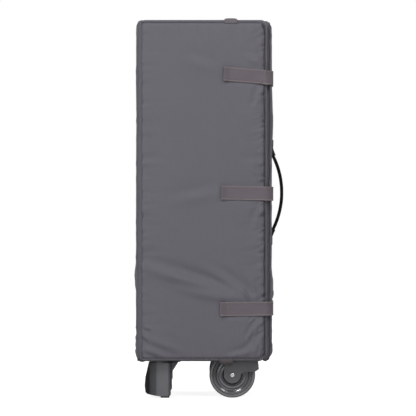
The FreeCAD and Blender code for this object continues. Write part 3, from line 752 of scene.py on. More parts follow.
def panel_shell(panel):
    """The closed cloth shell of one panel, mitred where it meets a fold."""
    step = FRONT_STEP if panel.name == "front" else GRID_STEP
    us, zs = steps_across(panel.length, step), steps_across(HEIGHT, step)
    points, faces, index = [], [], {}
    for outer in (True, False):
        for i, u in enumerate(us):
            for j, z in enumerate(zs):
                on_rim = i in (0, len(us) - 1) or j in (0, len(zs) - 1)
                if on_rim and not outer:
                    index[outer, i, j] = index[True, i, j]
                    continue
                index[outer, i, j] = len(points)
                points.append(cloth_point(panel, u, z, outer))
        for i in range(len(us) - 1):
            for j in range(len(zs) - 1):
                ring = [index[outer, a, b] for a, b in ((i, j), (i + 1, j), (i + 1, j + 1), (i, j + 1))]
                faces.append(ring if outer else ring[::-1])
    return mesh_object("panel_" + panel.name, points, faces, "wrap", "inside")


# The front panel's creases: where each starts and ends (u, z), its half width and its height.
CREASES = (
    # A long soft valley from the lower strap to the left edge, with fainter ones beside it.
    ((0.218, 0.119), (0.016, 0.184), 0.011, 0.0054),
    ((0.192, 0.117), (0.078, 0.143), 0.009, 0.0031),
    ((0.224, 0.124), (0.140, 0.178), 0.009, 0.0031),
    ((0.219, 0.115), (0.203, 0.143), 0.0038, 0.0029),
    ((0.234, 0.118), (0.220, 0.162), 0.005, 0.0020),
    # Sharp short creases above and below the lower strap.
    ((0.206, 0.140), (0.219, 0.121), 0.0032, 0.0022),
    ((0.228, 0.092), (0.220, 0.076), 0.0032, 0.0018),
    ((0.240, 0.088), (0.212, 0.040), 0.0046, 0.0024),
    ((0.233, 0.072), (0.225, 0.030), 0.0036, 0.0020),
    ((0.244, 0.042), (0.236, 0.008), 0.0034, 0.0024),
    # Gathers at the low right corner.
    ((0.244, 0.056), (0.227, 0.012), 0.006, 0.0037),
    ((0.237, 0.048), (0.208, 0.011), 0.007, 0.0031),
    ((0.246, 0.086), (0.236, 0.070), 0.004, 0.0020),
    ((0.230, 0.023), (0.175, 0.010), 0.006, 0.0022),
    # Gathers at the low left corner and along the left seam.
    ((0.012, 0.054), (0.024, 0.042), 0.004, 0.0022),
    ((0.014, 0.026), (0.052, 0.012), 0.006, 0.0027),
    ((0.013, 0.070), (0.030, 0.064), 0.004, 0.0017),
    ((0.018, 0.048), (0.090, 0.020), 0.008, 0.0020),
    # Beside the upper and middle straps.
    ((0.244, 0.572), (0.225, 0.598), 0.0045, 0.0027),
    ((0.238, 0.569), (0.215, 0.590), 0.006, 0.0020),
    ((0.246, 0.538), (0.230, 0.490), 0.006, 0.0026),
    ((0.245, 0.344), (0.220, 0.382), 0.006, 0.0024),
    ((0.246, 0.310), (0.228, 0.260), 0.006, 0.0026),
    ((0.165, 0.560), (0.090, 0.585), 0.011, 0.0017),
    ((0.162, 0.326), (0.070, 0.308), 0.012, 0.0019),
)


def turned_creases(panel, flip_u, flip_z, share):
    """The front panel's creases mirrored along a panel or up it, with a share of their height."""
    made = []
    for start, end, width, height in CREASES:
        ends = [(panel.length - u if flip_u else u, HEIGHT - z if flip_z else z) for u, z in (start, end)]
        made.append((*ends, width, height * share))
    return made


def panels():
    """All four panels, each standing for its cover and its foam."""
    PANELS["front"].creases = CREASES
    PANELS["left"].creases = turned_creases(PANELS["left"], True, False, 0.8)
    PANELS["back"].creases = turned_creases(PANELS["back"], False, True, 0.8)
    PANELS["right"].creases = turned_creases(PANELS["right"], True, False, 0.7)
    made = {}
    for name, panel in PANELS.items():
        shell = panel_shell(panel)
        made[name] = finish_piece(shell, panel.body, "wrap_fabric", "mattress_%s_cover" % name,
                                  "mattress_%s_foam" % name)
    return made


# ---------------------------------------------------------------- seams and folds

TUBE_SIDES = 8
PIPING_RADIUS = 0.0015
# The painted shade line: the dark cord's radius, and how far inside the piping it is laid.
SHADE_LINE_RADIUS = 0.0009
SHADE_LINE_INSET = 0.0023
FREE_INSET = 0.0030
FOLD_SEAM_RADIUS = 0.004
CORD_WANDER = 0.0011
CORNER_STEPS = 6
RAY_START = 0.03


def tube(name, path, radius, finish, closed=False):
    """A round tube along a path of points."""
    points = []
    other = None
    for i, spot in enumerate(path):
        before = path[i - 1] if i or closed else path[0]
        after = path[(i + 1) % len(path)] if closed or i < len(path) - 1 else path[-1]
        way = (after - before).normalized()
        reference = other if other else (UP if abs(way.z) < 0.9 else ALONG_X)
        side = way.cross(reference).normalized()
        other = side.cross(way).normalized()
        for k in range(TUBE_SIDES):
            angle = 2 * math.pi * k / TUBE_SIDES
            points.append(spot + side * (radius * math.cos(angle)) + other * (radius * math.sin(angle)))
    return mesh_object(name, points, sleeve_faces(len(path), TUBE_SIDES, closed), finish)


def at_free_edge(panel, u):
    """Whether a place lies beside an edge of the panel that no fold of cloth joins to the next one."""
    near_start = u < SEAM_FOLD and not panel.fold_start
    return near_start or (u > panel.length - SEAM_FOLD and not panel.fold_end)


def seam_outline(panel, inset, step=0.004):
    """A line along a panel's piping, as (u, z) pairs anticlockwise from the lower end corner.

    The inset moves it inwards from the piping's own line, and along a free edge it wanders a little."""
    u0 = (SEAM_FOLD if panel.fold_start else SEAM_EDGE - FREE_INSET) + inset
    u1 = panel.length - (SEAM_FOLD if panel.fold_end else SEAM_EDGE - FREE_INSET) - inset
    z0, z1 = SEAM_LEVEL + inset, HEIGHT - SEAM_LEVEL - inset
    radius_start = FOLD_SEAM_RADIUS if panel.fold_start else FREE_CORNER - 0.002
    radius_end = FOLD_SEAM_RADIUS if panel.fold_end else FREE_CORNER + 0.002
    spots = []
    for corner_u, corner_z, radius, turn in ((u1, z0, radius_end, -90), (u1, z1, radius_end, 0),
                                             (u0, z1, radius_start, 90), (u0, z0, radius_start, 180)):
        centre_u = corner_u - radius if corner_u > panel.length / 2 else corner_u + radius
        centre_z = corner_z - radius if corner_z > HEIGHT / 2 else corner_z + radius
        for k in range(CORNER_STEPS + 1):
            angle = math.radians(turn + 90 * k / CORNER_STEPS)
            spots.append((centre_u + radius * math.cos(angle), centre_z + radius * math.sin(angle)))
    outline = []
    for (u_a, z_a), (u_b, z_b) in zip(spots, spots[1:] + spots[:1]):
        pieces = max(1, round(math.hypot(u_b - u_a, z_b - z_a) / step))
        for piece in range(pieces):
            share = piece / pieces
            u, z = u_a + (u_b - u_a) * share, z_a + (z_b - z_a) * share
            if at_free_edge(panel, u):
                u += CORD_WANDER * wave(z / 0.030, 0.5, panel.seed)
            outline.append((u, z))
    return outline


def laid_cord(name, panel, tree, inset, radius, sunk, finish, soft_finish):
    """A cord laid along a panel's seam on the finished cloth, sunk by a share of its radius. Its first
    finish is darker, painted shade for the free edges, and its soft finish is for the folds and the level
    edges."""
    outline = seam_outline(panel, inset)
    path = []
    for u, z in outline:
        height = WRAP_BASE + lifted(panel, z)
        hit = tree.ray_cast(panel.place(u, -RAY_START, height), panel.inward)[0]
        if hit is None:
            hit = panel.place(u, 0.004, height)
        path.append(hit - panel.inward * (radius * (1 - sunk)))
    cord = tube(name, path, radius, finish, closed=True)
    paint(cord, finish, soft_finish)
    # The free edges take the first, darker finish: painted shade.
    slots = [0 if at_free_edge(panel, u) else 1 for u, z in outline for side in range(TUBE_SIDES)]
    cord.data.polygons.foreach_set("material_index", slots)
    finish_piece(cord, panel.body, "wrap_fabric")


def piping(panel, tree):
    """The corded seam round a panel's outer face, and beside it a dark cord in the seam's valley that is
    painted shade.
    """
    laid_cord("piping_" + panel.name, panel, tree, 0.0, PIPING_RADIUS, 0.65, "piping", "soft_piping")
    # The second cord is painted shade: a dark line in the seam's valley.
    laid_cord("seam_furrow_" + panel.name, panel, tree, SHADE_LINE_INSET, SHADE_LINE_RADIUS, 1.0, "painted_shade_line",
              "soft_painted_shade_line")


# A fold's strip: its grid, with columns beside the arc that run on under the panels' seams and dive.
FOLD_COLUMNS = 17
FOLD_SIDE_COLUMNS = 1.5
FOLD_ARC_COLUMNS = FOLD_COLUMNS - 1 - 2 * FOLD_SIDE_COLUMNS
FOLD_ROW = 0.005
FOLD_THICKNESS = 0.0011
FOLD_SET_BACK = 0.0006
FOLD_RUN = 0.030
FOLD_DIVE = 0.012
FOLD_MARGIN = 0.0028
FOLD_RADIUS = SEAM_FOLD + 0.001
# How far the strip is drawn in at its top and its bottom, and over what height.
TOP_PINCH, TOP_PINCH_REACH = 0.0042, 0.008
LOW_PINCH, LOW_PINCH_REACH = 0.0078, 0.009


def fold_cloth(name, first, second):
    """The strip of cloth that turns a corner of the wrap, from one panel's seam to the next one's."""
    centre = first.place(first.length, 0, 0) + (first.inward + second.inward) * FOLD_RADIUS
    flat_height = HEIGHT - 2 * FOLD_MARGIN
    points = []
    rows = round(HEIGHT / FOLD_ROW)
    for layer in (0, 1):
        for j in range(rows + 1):
            z = WRAP_BASE + FOLD_MARGIN + flat_height * j / rows
            pinch = TOP_PINCH * math.exp(-(rows - j) * FOLD_ROW / TOP_PINCH_REACH)
            pinch += LOW_PINCH * math.exp(-j * FOLD_ROW / LOW_PINCH_REACH)
            for i in range(FOLD_COLUMNS):
                place = (i - FOLD_SIDE_COLUMNS) / FOLD_ARC_COLUMNS
                turn = clamped(place)
                past = place - turn
                pucker = 0.0011 * wave(z / 0.013, turn * 1.3, first.seed + 60)
                pucker += 0.0010 * wave(z / 0.06, turn * 1.5, first.seed + 70)
                radius = FOLD_RADIUS - FOLD_SET_BACK - pinch - FOLD_THICKNESS * layer
                radius += pucker * math.sin(math.pi * turn)
                angle = math.pi / 2 * turn
                spot = centre - (first.inward * math.cos(angle) + second.inward * math.sin(angle)) * radius
                side = first if past < 0 else second
                spot += side.along * past * FOLD_RUN + side.inward * abs(past) * FOLD_DIVE
                points.append(Vector((spot.x, spot.y, z)))
    cloth = mesh_object("fold_cloth_" + name, points, layered_faces(FOLD_COLUMNS, rows + 1), "fold")
    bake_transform(cloth)


# ---------------------------------------------------------------- webbing

# Places across a webbing's half width, with the thickness there: a raised woven edge, and a face.
WEB_EDGE = ((1.0, 0.0), (0.985, 0.8), (0.95, 1.22), (0.90, 1.24), (0.855, 0.96))
WEB_FACE = (0.80, 0.55, 0.28, 0.0)
WEB_HALF = [*WEB_EDGE, *((place, 1.0) for place in WEB_FACE)]
WEB_COLUMNS = [(-place, thick) for place, thick in WEB_HALF] + WEB_HALF[-2::-1]
EDGE_SHARE = 0.84


def ribbon(name, path, width, thickness, finishes, hooks=()):
    """Flat woven webbing along a path of (middle, outward, across, thickness factor) entries.

    finishes are the face's and the edges' materials, and the one at the back of the rows in hooks."""
    count = len(WEB_COLUMNS)
    ring = 2 * count
    points, slots = [], []
    for middle, outward, across, factor in path:
        for side in (1, -1):
            for place, thick in WEB_COLUMNS[::side]:
                lift = thickness / 2 * thick
                if side > 0:
                    lift += thickness * (factor - 1)
                points.append(middle + across * (place * width / 2) + outward * (side * lift))
    for i in range(len(path) - 1):
        for k in range(ring):
            at_edge = abs(WEB_COLUMNS[min(k, ring - 1 - k)][0]) > EDGE_SHARE
            slots.append(1 if at_edge else (2 if k >= count and i in hooks else 0))
    made = mesh_object(name, points, sleeve_faces(len(path), ring), *finishes)
    made.data.polygons.foreach_set("material_index", [*slots, 1, 1])
    return tidy(made)


STITCH_SIDES = 6
# A stitch's rings: place along it, share of its radius, and how far it is sunk, in radii.
STITCH_RINGS = ((-0.5, 0.35, 0.9), (-0.3, 0.95, 0.0), (0.0, 1.1, 0.0), (0.3, 0.95, 0.0), (0.5, 0.35, 0.9))


def stitch_points(middle, way, outward, length, radius):
    """The points of one stitch, a small spindle along a way on the cloth."""
    side = way.cross(outward).normalized()
    points = []
    for along, size, sunk in STITCH_RINGS:
        for k in range(STITCH_SIDES):
            angle = 2 * math.pi * k / STITCH_SIDES
            round_it = (side * math.cos(angle) + outward * math.sin(angle)) * (radius * size)
            points.append(middle + way * (along * length) - outward * (radius * sunk) + round_it)
    return points


def stitches(name, runs, finish, pitch=0.0034, length=0.0026, radius=0.00032):
    """Rows of sewing stitches along runs of (point, outward) entries."""
    points, faces = [], []
    for run in runs:
        travelled = 0.0
        following = pitch / 2
        for (start, out_start), (end, out_end) in zip(run, run[1:]):
            span = (end - start).length
            while following <= travelled + span:
                share = (following - travelled) / span
                outward = out_start.lerp(out_end, share).normalized()
                faces += sleeve_faces(len(STITCH_RINGS), STITCH_SIDES, first=len(points))
                points += stitch_points(start.lerp(end, share), (end - start).normalized(), outward,
                                        length, radius)
                following += pitch
            travelled += span
    return tidy(mesh_object(name, points, faces, finish))


def surface_depth(tree, panel, u, z, spread):
    """How deep (v) the cloth's outermost point is near a place on a panel, negative when proud."""
    depth = 0.02
    for du in (-spread / 2, 0, spread / 2):
        for dz in (-spread, 0, spread):
            hit, _, _, distance = tree.ray_cast(panel.place(u + du, -RAY_START, z + dz), panel.inward)
            if hit is not None:
                depth = min(depth, distance - RAY_START)
    return depth


def settled(levels, target, shares):
    """Levels that start out from a target and settle to their own by shares, smoothed."""
    levels = [target * (1 - share) + level * share for level, share in zip(levels, shares)]
    for _ in range(6):
        inner = [(a + 2 * b + c) / 4 for a, b, c in zip(levels, levels[1:], levels[2:])]
        levels = [levels[0], *inner, levels[-1]]
    return levels


def in_plane(points, across):
    """Path entries (middle, outward, across) for a run of points square to a direction."""
    entries = []
    for i, spot in enumerate(points):
        way = (points[min(len(points) - 1, i + 1)] - points[max(0, i - 1)]).normalized()
        outward = way.cross(across).normalized()
        entries.append((spot, outward, outward.cross(way).normalized()))
    return entries


STRAP_STEP = 0.002
STRAP_REACH = 0.009
CORNER_RADIUS = 0.0150
CORNER_TURNS = 12
PANEL_EDGE = 0.012
HEM = 0.010
HEM_THICKNESS = 1.3
HOOK_LENGTH = 0.055
BOX_LENGTH = 0.024
TIP_LIFT_RUN = 0.034
# How far from the corner the two runs have settled on the cloth, and the webbing bends.
SEWN_SETTLE = 0.030
LOOSE_SETTLE = 0.020


def strap_path(strap, trees):
    """A strap's way from its sewn end on the right panel round the corner to its loose end."""
    front, right = PANELS["front"], PANELS["right"]
    stand = STRAP_THICKNESS / 2 + 0.0003
    centre = Vector((strap.hinge.x - CORNER_RADIUS, strap.hinge.y + CORNER_RADIUS, strap.corner_z))
    # The sewn part, along the right panel's face towards the corner.
    rows = round((ANCHOR_END - centre.y) / STRAP_STEP)
    sewn_y = [ANCHOR_END - (ANCHOR_END - centre.y) * i / rows for i in range(rows)]
    sewn_x = []
    for y in sewn_y:
        u = max(y - RIGHT_START, PANEL_EDGE)
        depth = surface_depth(trees["right"], right, u, strap.corner_z, STRAP_REACH)
        sewn_x.append(WRAP_RIGHT - depth + stand)
    shares = [min(1.0, (y - centre.y) / SEWN_SETTLE) for y in sewn_y]
    plan = [Vector((x, y, strap.corner_z)) for x, y in zip(settled(sewn_x, strap.hinge.x, shares), sewn_y)]
    for k in range(CORNER_TURNS + 1):
        angle = math.pi / 2 * k / CORNER_TURNS
        plan.append(centre + Vector((math.cos(angle), -math.sin(angle), 0)) * CORNER_RADIUS)
    # The loose part, along the front panel's face to the tip, which stands a little off the cloth.
    rows = round((centre.x - strap.end_x) / STRAP_STEP)
    loose_x = [centre.x - (centre.x - strap.end_x) * i / rows for i in range(1, rows + 1)]
    loose_y = []
    for x in loose_x:
        u = min(x - WRAP_LEFT, front.length - PANEL_EDGE)
        depth = surface_depth(trees["front"], front, u, strap.height_at(x), STRAP_REACH)
        lift = strap.lift * max(0.0, 1 - (x - strap.end_x) / TIP_LIFT_RUN) ** 2
        loose_y.append(WRAP_FRONT + depth - stand - lift)
    shares = [min(1.0, (centre.x - x) / LOOSE_SETTLE) for x in loose_x]
    plan += [Vector((x, y, strap.height_at(x)))
             for x, y in zip(loose_x, settled(loose_y, strap.hinge.y, shares))]
    path = []
    for spot, outward, across in in_plane(plan, UP):
        if outward.dot(spot - Vector((MIDDLE_X, MIDDLE_Y, spot.z))) < 0:
            outward = -outward
        hem = spot.x < strap.end_x + HEM and outward.y < -0.5
        path.append((spot, outward, across, HEM_THICKNESS if hem else 1.0))
    return path


def strap_runs(path):
    """A strap's stitches: a row inside each edge, the hem's cross rows, and the box where it is sewn on."""
    def on_face(i, place):
        spot, outward, across, factor = path[i]
        proud = STRAP_THICKNESS * (factor - 0.5) + 0.0001
        return (spot + across * (place * STRAP_WIDTH / 2) + outward * proud, outward)

    tip = len(path)
    box_end = round(BOX_LENGTH / STRAP_STEP)
    runs = [[on_face(i, side * 0.77) for i in range(2, tip - 1)] for side in (-1, 1)]
    for row in (tip - 3, tip - 1 - round((HEM - 0.003) / STRAP_STEP), 2, box_end):
        runs.append([on_face(row, place / 10) for place in range(-7, 8, 2)])
    for side in (-1, 1):
        runs.append([on_face(2 + round((box_end - 2) * k / 6), side * 0.7 * (1 - k / 3)) for k in range(7)])
    return runs


def closing_strap(strap, trees):
    """One strap with its stitches, bent round the corner from the right panel to the front panel."""
    path = strap_path(strap, trees)
    tip = len(path)
    made = ribbon("strap_%s_webbing" % strap.name, path, STRAP_WIDTH, STRAP_THICKNESS,
                  ("strap", "strap_edge", "hook"), range(tip - round(HOOK_LENGTH / STRAP_STEP) + 1, tip - 2))
    thread = stitches("strap_%s_stitches" % strap.name, strap_runs(path), "stitch")
    finish_piece(made, None, "strap_webbing", "strap_" + strap.name, "strap_anchors")
    finish_piece(thread, None, "strap_webbing")
    for obj in (made, thread):
        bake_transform(obj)


# How deep a patch's back is in the cloth, and how thick its rim is for its thickness.
PATCH_SINK = 0.0006
PATCH_RIM = 0.35


def sewn_patch(name, panel, tree, u_range, z_range, thickness, finish, hump=None, step=0.0016):
    """A flat patch sewn on a panel, following the cloth under it. hump(s, t) lifts it further."""
    (u0, u1), (z0, z1) = u_range, z_range
    columns = max(4, round((u1 - u0) / step))
    rows = max(4, round((z1 - z0) / step))
    outer, inner = [], []
    for j in range(rows + 1):
        for i in range(columns + 1):
            u = u0 + (u1 - u0) * i / columns
            z = z0 + (z1 - z0) * j / rows
            depth = surface_depth(tree, panel, u, z, 0.001)
            on_rim = min(i, columns - i, j, rows - j) == 0
            lift = thickness * (PATCH_RIM if on_rim else 1.0)
            if hump:
                lift += hump(i / columns, j / rows)
            outer.append(panel.place(u, depth - lift, z))
            inner.append(panel.place(u, depth + PATCH_SINK, z))
    return tidy(mesh_object(name, outer + inner, layered_faces(columns + 1, rows + 1), finish))


LOOP_THICKNESS = 0.0006
PATCH_START = 0.005
PATCH_LENGTH = 0.050
PATCH_HALF = 0.011


def strap_patches(tree):
    """The loop patches on the front panel that the straps' ends press on to."""
    for strap in STRAPS:
        start = strap.end_x + PATCH_START
        z = strap.height_at(start + PATCH_LENGTH / 2)
        patch = sewn_patch("loop_patch_" + strap.name, PANELS["front"], tree,
                           (start - WRAP_LEFT, start + PATCH_LENGTH - WRAP_LEFT),
                           (z - PATCH_HALF, z + PATCH_HALF), LOOP_THICKNESS, "hook")
        finish_piece(patch, "mattress_front", "strap_webbing", "strap_patches")


# ---------------------------------------------------------------- carrying handle

HANDLE_AXIS = joint_place("handle_swing")
GRIP_LOW, GRIP_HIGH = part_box("handle_webbing")
GRIP_RADIUS = (GRIP_HIGH.y - GRIP_LOW.y) / 2
GRIP_RISE = GRIP_HIGH.x - GRIP_RADIUS - HANDLE_AXIS.x
PATCH_LOW, PATCH_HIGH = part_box("handle_anchors")
PATCH_SIZE = PATCH_HIGH.y - PATCH_LOW.y
PATCH_GAP = 0.002
HALF_SPAN = (PATCH_HIGH.z - PATCH_LOW.z) / 2 - PATCH_SIZE - PATCH_GAP
ARCH = (HALF_SPAN ** 2 + GRIP_RISE ** 2) / (2 * GRIP_RISE)
ARCH_CENTRE = Vector((HANDLE_AXIS.x + GRIP_RISE - ARCH, HANDLE_AXIS.y, HANDLE_AXIS.z))
GRIP_ROWS = 72
GRIP_SIDES = 20
BOX_INSET = 0.003
BOX_START = 0.012
PLATE_THICKNESS = 0.0017
PLATE_STEP = 0.0011
# Stitches' pitch, length and radius.
GRIP_STITCH = (0.0036, 0.0028, 0.0003)
BOX_STITCH = (0.0028, 0.0022, 0.0003)
LINE_STEPS = 12


def arch_way(i):
    """The direction from the arch's centre to a row of the grip."""
    angle = math.asin(HALF_SPAN / ARCH) * (2 * i / GRIP_ROWS - 1)
    return Vector((math.cos(angle), 0, math.sin(angle)))


def handle_grip():
    """The rolled webbing, with the seam that closes it along its inner side."""
    points = []
    for i in range(GRIP_ROWS + 1):
        share = i / GRIP_ROWS
        outward = arch_way(i)
        ripple = wave(share * 9.0, 2.0, 80.0)
        spot = ARCH_CENTRE + outward * (ARCH + 0.000175 * ripple)
        squeeze = 1 - 0.10 * math.exp(-(min(share, 1 - share) / 0.05) ** 2)
        for k in range(GRIP_SIDES):
            turn = 2 * math.pi * k / GRIP_SIDES
            size = GRIP_RADIUS * squeeze * (1 + 0.035 * math.cos(2 * turn) + 0.024 * ripple)
            seam = 0.0007 * math.exp(-((turn - math.pi) / 0.35) ** 2)
            points.append(spot + outward * ((size + seam) * math.cos(turn))
                          + ALONG_Y * (size * math.sin(turn)))
    grip = tidy(mesh_object("carrying_handle", points, sleeve_faces(GRIP_ROWS + 1, GRIP_SIDES), "handle"))
    finish_piece(grip, "handle", "handle_webbing", "handle_webbing")
    run = [(ARCH_CENTRE + arch_way(i) * (ARCH - GRIP_RADIUS - 0.0006), -arch_way(i))
           for i in range(4, GRIP_ROWS - 3)]
    sewing = stitches("handle_seam_stitches", [run], "dark_stitch", *GRIP_STITCH)
    finish_piece(sewing, "handle", "handle_webbing")


def handle_patch(name, way, cloth):
    """One sewn patch that takes in an end of the grip, with a crossed box of stitches."""
    panel = PANELS["right"]
    u_middle = HANDLE_AXIS.y - RIGHT_START
    patch_start = HALF_SPAN + PATCH_GAP
    z_range = sorted(HANDLE_AXIS.z + way * far for far in (HALF_SPAN - 0.003, patch_start + PATCH_SIZE))

    def hump(s, t):
        along = t if way > 0 else 1 - t
        across = abs(s - 0.5) * PATCH_SIZE / (GRIP_RADIUS * 1.9)
        fade = max(0.0, 1 - along / 0.55) ** 1.3
        return 2.35 * GRIP_RADIUS * fade * max(0.0, 1 - across ** 2) ** 0.6

    u_range = (u_middle - PATCH_SIZE / 2, u_middle + PATCH_SIZE / 2)
    plate = sewn_patch("handle_patch_" + name, panel, cloth, u_range, z_range, PLATE_THICKNESS,
                       "handle", hump, PLATE_STEP)
    finish_piece(plate, "mattress_right", "handle_webbing", "handle_anchors")
    tree = surface_finder(plate)
    half, far = PATCH_SIZE / 2 - BOX_INSET, PATCH_SIZE - BOX_INSET
    a, b, c, d = [(u_middle + u, HANDLE_AXIS.z + way * (patch_start + z))
                  for u, z in ((-half, BOX_START), (half, BOX_START), (half, far), (-half, far))]
    runs = []
    for line in ([a, b, c, d, a], [a, c], [b, d]):
        run = []
        for (u_a, z_a), (u_b, z_b) in zip(line, line[1:]):
            for k in range(LINE_STEPS + 1):
                u, z = u_a + (u_b - u_a) * k / LINE_STEPS, z_a + (z_b - z_a) * k / LINE_STEPS
                hit = tree.ray_cast(panel.place(u, -RAY_START, z), panel.inward)[0]
                if hit is not None:
                    run.append((hit - panel.inward * 0.0001, -panel.inward))
        runs.append(run)
    sewing = stitches("handle_patch_%s_stitches" % name, runs, "dark_stitch", *BOX_STITCH)
    finish_piece(sewing, "mattress_right", "handle_webbing")


# ---------------------------------------------------------------- loops of webbing

TAB_LOW, TAB_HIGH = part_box("webbing_tabs")
TAB_UPPER = (TAB_HIGH.x - 0.0310, TAB_HIGH.x - 0.0065)
TAB_LOWER = (TAB_LOW.x, TAB_LOW.x + 0.025)
# How much lower a webbing loop is at its two edges than in the middle of its width.
TAB_DROOP = 0.6
LOOP_STEPS = 6


def loop_path(half, middle_y, crown, x, way):
    """Ribbon entries for a loop in a plane across the X direction.

    half holds the (distance from the middle, z) places up one side, and crown those at the top.
    way says whether the outside of the top is upwards (1) or downwards (-1)."""
    places = [(middle_y - off, z) for off, z in half] + crown + [(middle_y + off, z) for off, z in half[::-1]]
    padded = [Vector(place) for place in (places[0], *places, places[-1])]
    spots = []
    for p0, p1, p2, p3 in zip(padded, padded[1:], padded[2:], padded[3:]):
        for k in range(LOOP_STEPS):
            t = k / LOOP_STEPS
            spots.append(0.5 * (2 * p1 + (p2 - p0) * t + (2 * p0 - 5 * p1 + 4 * p2 - p3) * t * t
                                + (3 * p1 - p0 - 3 * p2 + p3) * t ** 3))
    spots.append(padded[-1])
    entries = in_plane([Vector((x, *spot)) for spot in spots], ALONG_X)
    sign = 1 if entries[len(entries) // 2][1].z * way > 0 else -1
    return [(spot, outward * sign, across, 1.0) for spot, outward, across in entries]


def webbing_tabs():
    """Two short loops of webbing caught in the seams at the front panel's top and bottom edges."""
    middle_y = WRAP_FRONT + DEPTH / 2
    for name, (x0, x1), edge, way, reach, finishes in (
            # The upper loop takes the painted light copy of the tab webbing.
            ("upper", TAB_UPPER, WRAP_TOP, 1, TAB_HIGH.z - WRAP_TOP, ("painted_light_tab", "painted_light_tab", "hook")),
            ("lower", TAB_LOWER, WRAP_BASE, -1, WRAP_BASE - TAB_LOW.z, ("tab", "tab_edge", "hook"))):
        top = edge + way * (reach - STRAP_THICKNESS / 2)
        half = [(0.0112, edge - way * 0.0075), (0.0118, edge - way * 0.0030),
                (0.0090, edge + way * (reach * 0.50)), (0.0045, top)]
        path = loop_path(half, middle_y, [], (x0 + x1) / 2, way)
        tab = ribbon("webbing_tab_" + name, path, x1 - x0, 0.0016, finishes)
        for vertex in tab.data.vertices:
            beyond = (vertex.co.z - edge) * way
            if beyond > 0:
                aside = (2 * vertex.co.x - x0 - x1) / (x1 - x0)
                vertex.co.z = edge + way * beyond * (1 - TAB_DROOP * aside ** 4)
        finish_piece(tab, "mattress_front", "strap_webbing", "webbing_tabs")


def pull_tab():
    """The loop of webbing that is pulled up to fold the floor bars."""
    low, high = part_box("hub_pull_tab")
    base, top = low.z, high.z
    middle_y = (low.y + high.y) / 2
    swell = (high.y - low.y) / 2 - 0.0002
    half = [(0.0010, base), (0.0012, base + 0.012), (swell * 0.8, top - 0.014), (swell * 0.7, top - 0.004)]
    path = loop_path(half, middle_y, [(middle_y, top - 0.001)], (low.x + high.x) / 2, 1)
    tab = ribbon("hub_pull_loop", path, high.x - low.x, 0.0015, ("strap", "strap_edge", "hook"))
    finish_piece(tab, "root", "strap_webbing", "hub_pull_tab")


# ---------------------------------------------------------------- moulded and turned pieces

EDGE_ANGLE = math.radians(32)
FLAT_ANGLE = math.radians(0.6)


def softened(node_name, piece_name, finish, slot_name, width, body="root", segments=2):
    """A moulded piece with its edges rounded, as they leave the mould."""
    work = bmesh.new()
    work.from_mesh(frame["nodes"][node_name].data)
    bmesh.ops.remove_doubles(work, verts=work.verts, dist=2e-6)
    bmesh.ops.dissolve_limit(work, angle_limit=FLAT_ANGLE, verts=work.verts, edges=work.edges)
    points = [v.co.copy() for v in work.verts]
    faces = [[v.index for v in face.verts] for face in work.faces]
    work.free()
    made = mesh_object(piece_name, points, faces, finish)
    bevel = made.modifiers.new("edges", "BEVEL")
    bevel.width = width
    bevel.segments = segments
    bevel.limit_method = "ANGLE"
    bevel.angle_limit = EDGE_ANGLE
    bevel.harden_normals = True
    apply_modifiers(made)
    finish_piece(made, body, slot_name, node_name)


def moulded_pieces():
    for depth in ("front", "back"):
        softened("foot_" + depth, "foot_moulding_" + depth, "foot", "foot_plastic", 0.0011)
        softened("wheel_fork_" + depth, "fork_moulding_" + depth, "fork", "frame_plastic", 0.0009)
        for side in ("left", "right"):
            name = "%s_%s" % (depth, side)
            softened("corner_bracket_" + name, "corner_moulding_" + name, "frame", "frame_plastic", 0.0008)
    for side in ("front", "back", "left", "right"):
        softened("latch_housing_" + side, "latch_moulding_" + side, "frame", "frame_plastic", 0.0008)
        softened("latch_button_" + side, "release_button_" + side, "button", "button_plastic", 0.0012,
                 "latch_button_" + side, 3)
    softened("floor_hub", "hub_moulding", "frame", "frame_plastic", 0.0010)
    softened("foot_soles", "rubber_soles", "sole", "sole_rubber", 0.0009)


def lathe(name, half_profile, middle, finish, segments):
    """A solid of revolution about the Y direction through a point, alike on both sides of it. Its
    profile's front half is given as (radius, distance from the middle plane) places."""
    profile = [(radius, -away) for radius, away in half_profile]
    profile += [(radius, away) for radius, away in half_profile[::-1]]
    points = []
    for radius, y in profile:
        for k in range(segments):
            angle = 2 * math.pi * k / segments
            points.append(middle + Vector((radius * math.cos(angle), y, radius * math.sin(angle))))
    return tidy(mesh_object(name, points, sleeve_faces(len(profile), segments, closed=True), finish))


DISH_DEPTH = 0.0030


def tyre_profile(rim, disc_half, outer, half):
    """A bead against the disc, a side wall with a raised ring, and a rounded tread."""
    return [(rim + 0.0001, disc_half - 0.0004), (rim + 0.0005, disc_half + 0.0004),
            (rim + 0.0010, disc_half + 0.0014), (rim + 0.0018, half - 0.0006), (rim + 0.0026, half),
            (rim + 0.0031, half - 0.0003), (rim + 0.0036, half - 0.0003), (rim + 0.0041, half),
            (outer - 0.0022, half - 0.0004), (outer - 0.0012, half - 0.0016), (outer - 0.0005, half - 0.0034),
            (outer - 0.0001, half - 0.0062), (outer, half - 0.0095)]


def disc_profile(rim, disc_half):
    """A hub, a dished web with two raised rings, and the slope that eases off towards the rim."""
    floor = disc_half - DISH_DEPTH
    return [(0.00408, disc_half), (0.0103, disc_half), (0.0109, disc_half - 0.0005), (0.0112, floor + 0.0010),
            (0.0120, floor), (0.0186, floor), (0.0192, floor + 0.0005), (0.0200, floor + 0.0005),
            (0.0206, floor), (0.0246, floor), (0.0254, floor + 0.0004), (0.0268, floor + 0.0004),
            (0.0276, floor), (0.0302, floor), (0.0308, floor + 0.0003), (0.0313, floor + 0.00075),
            (0.0319, floor + 0.00110), (0.0325, floor + 0.00142), (0.0331, floor + 0.00171),
            (0.0337, floor + 0.00198), (0.0343, floor + 0.00222), (0.0349, floor + 0.00244),
            (0.0355, floor + 0.00263), (0.0361, floor + 0.00279), (0.0367, floor + 0.00290),
            (rim - 0.0006, disc_half), (rim - 0.0002, disc_half - 0.0003), (rim, disc_half - 0.0009)]


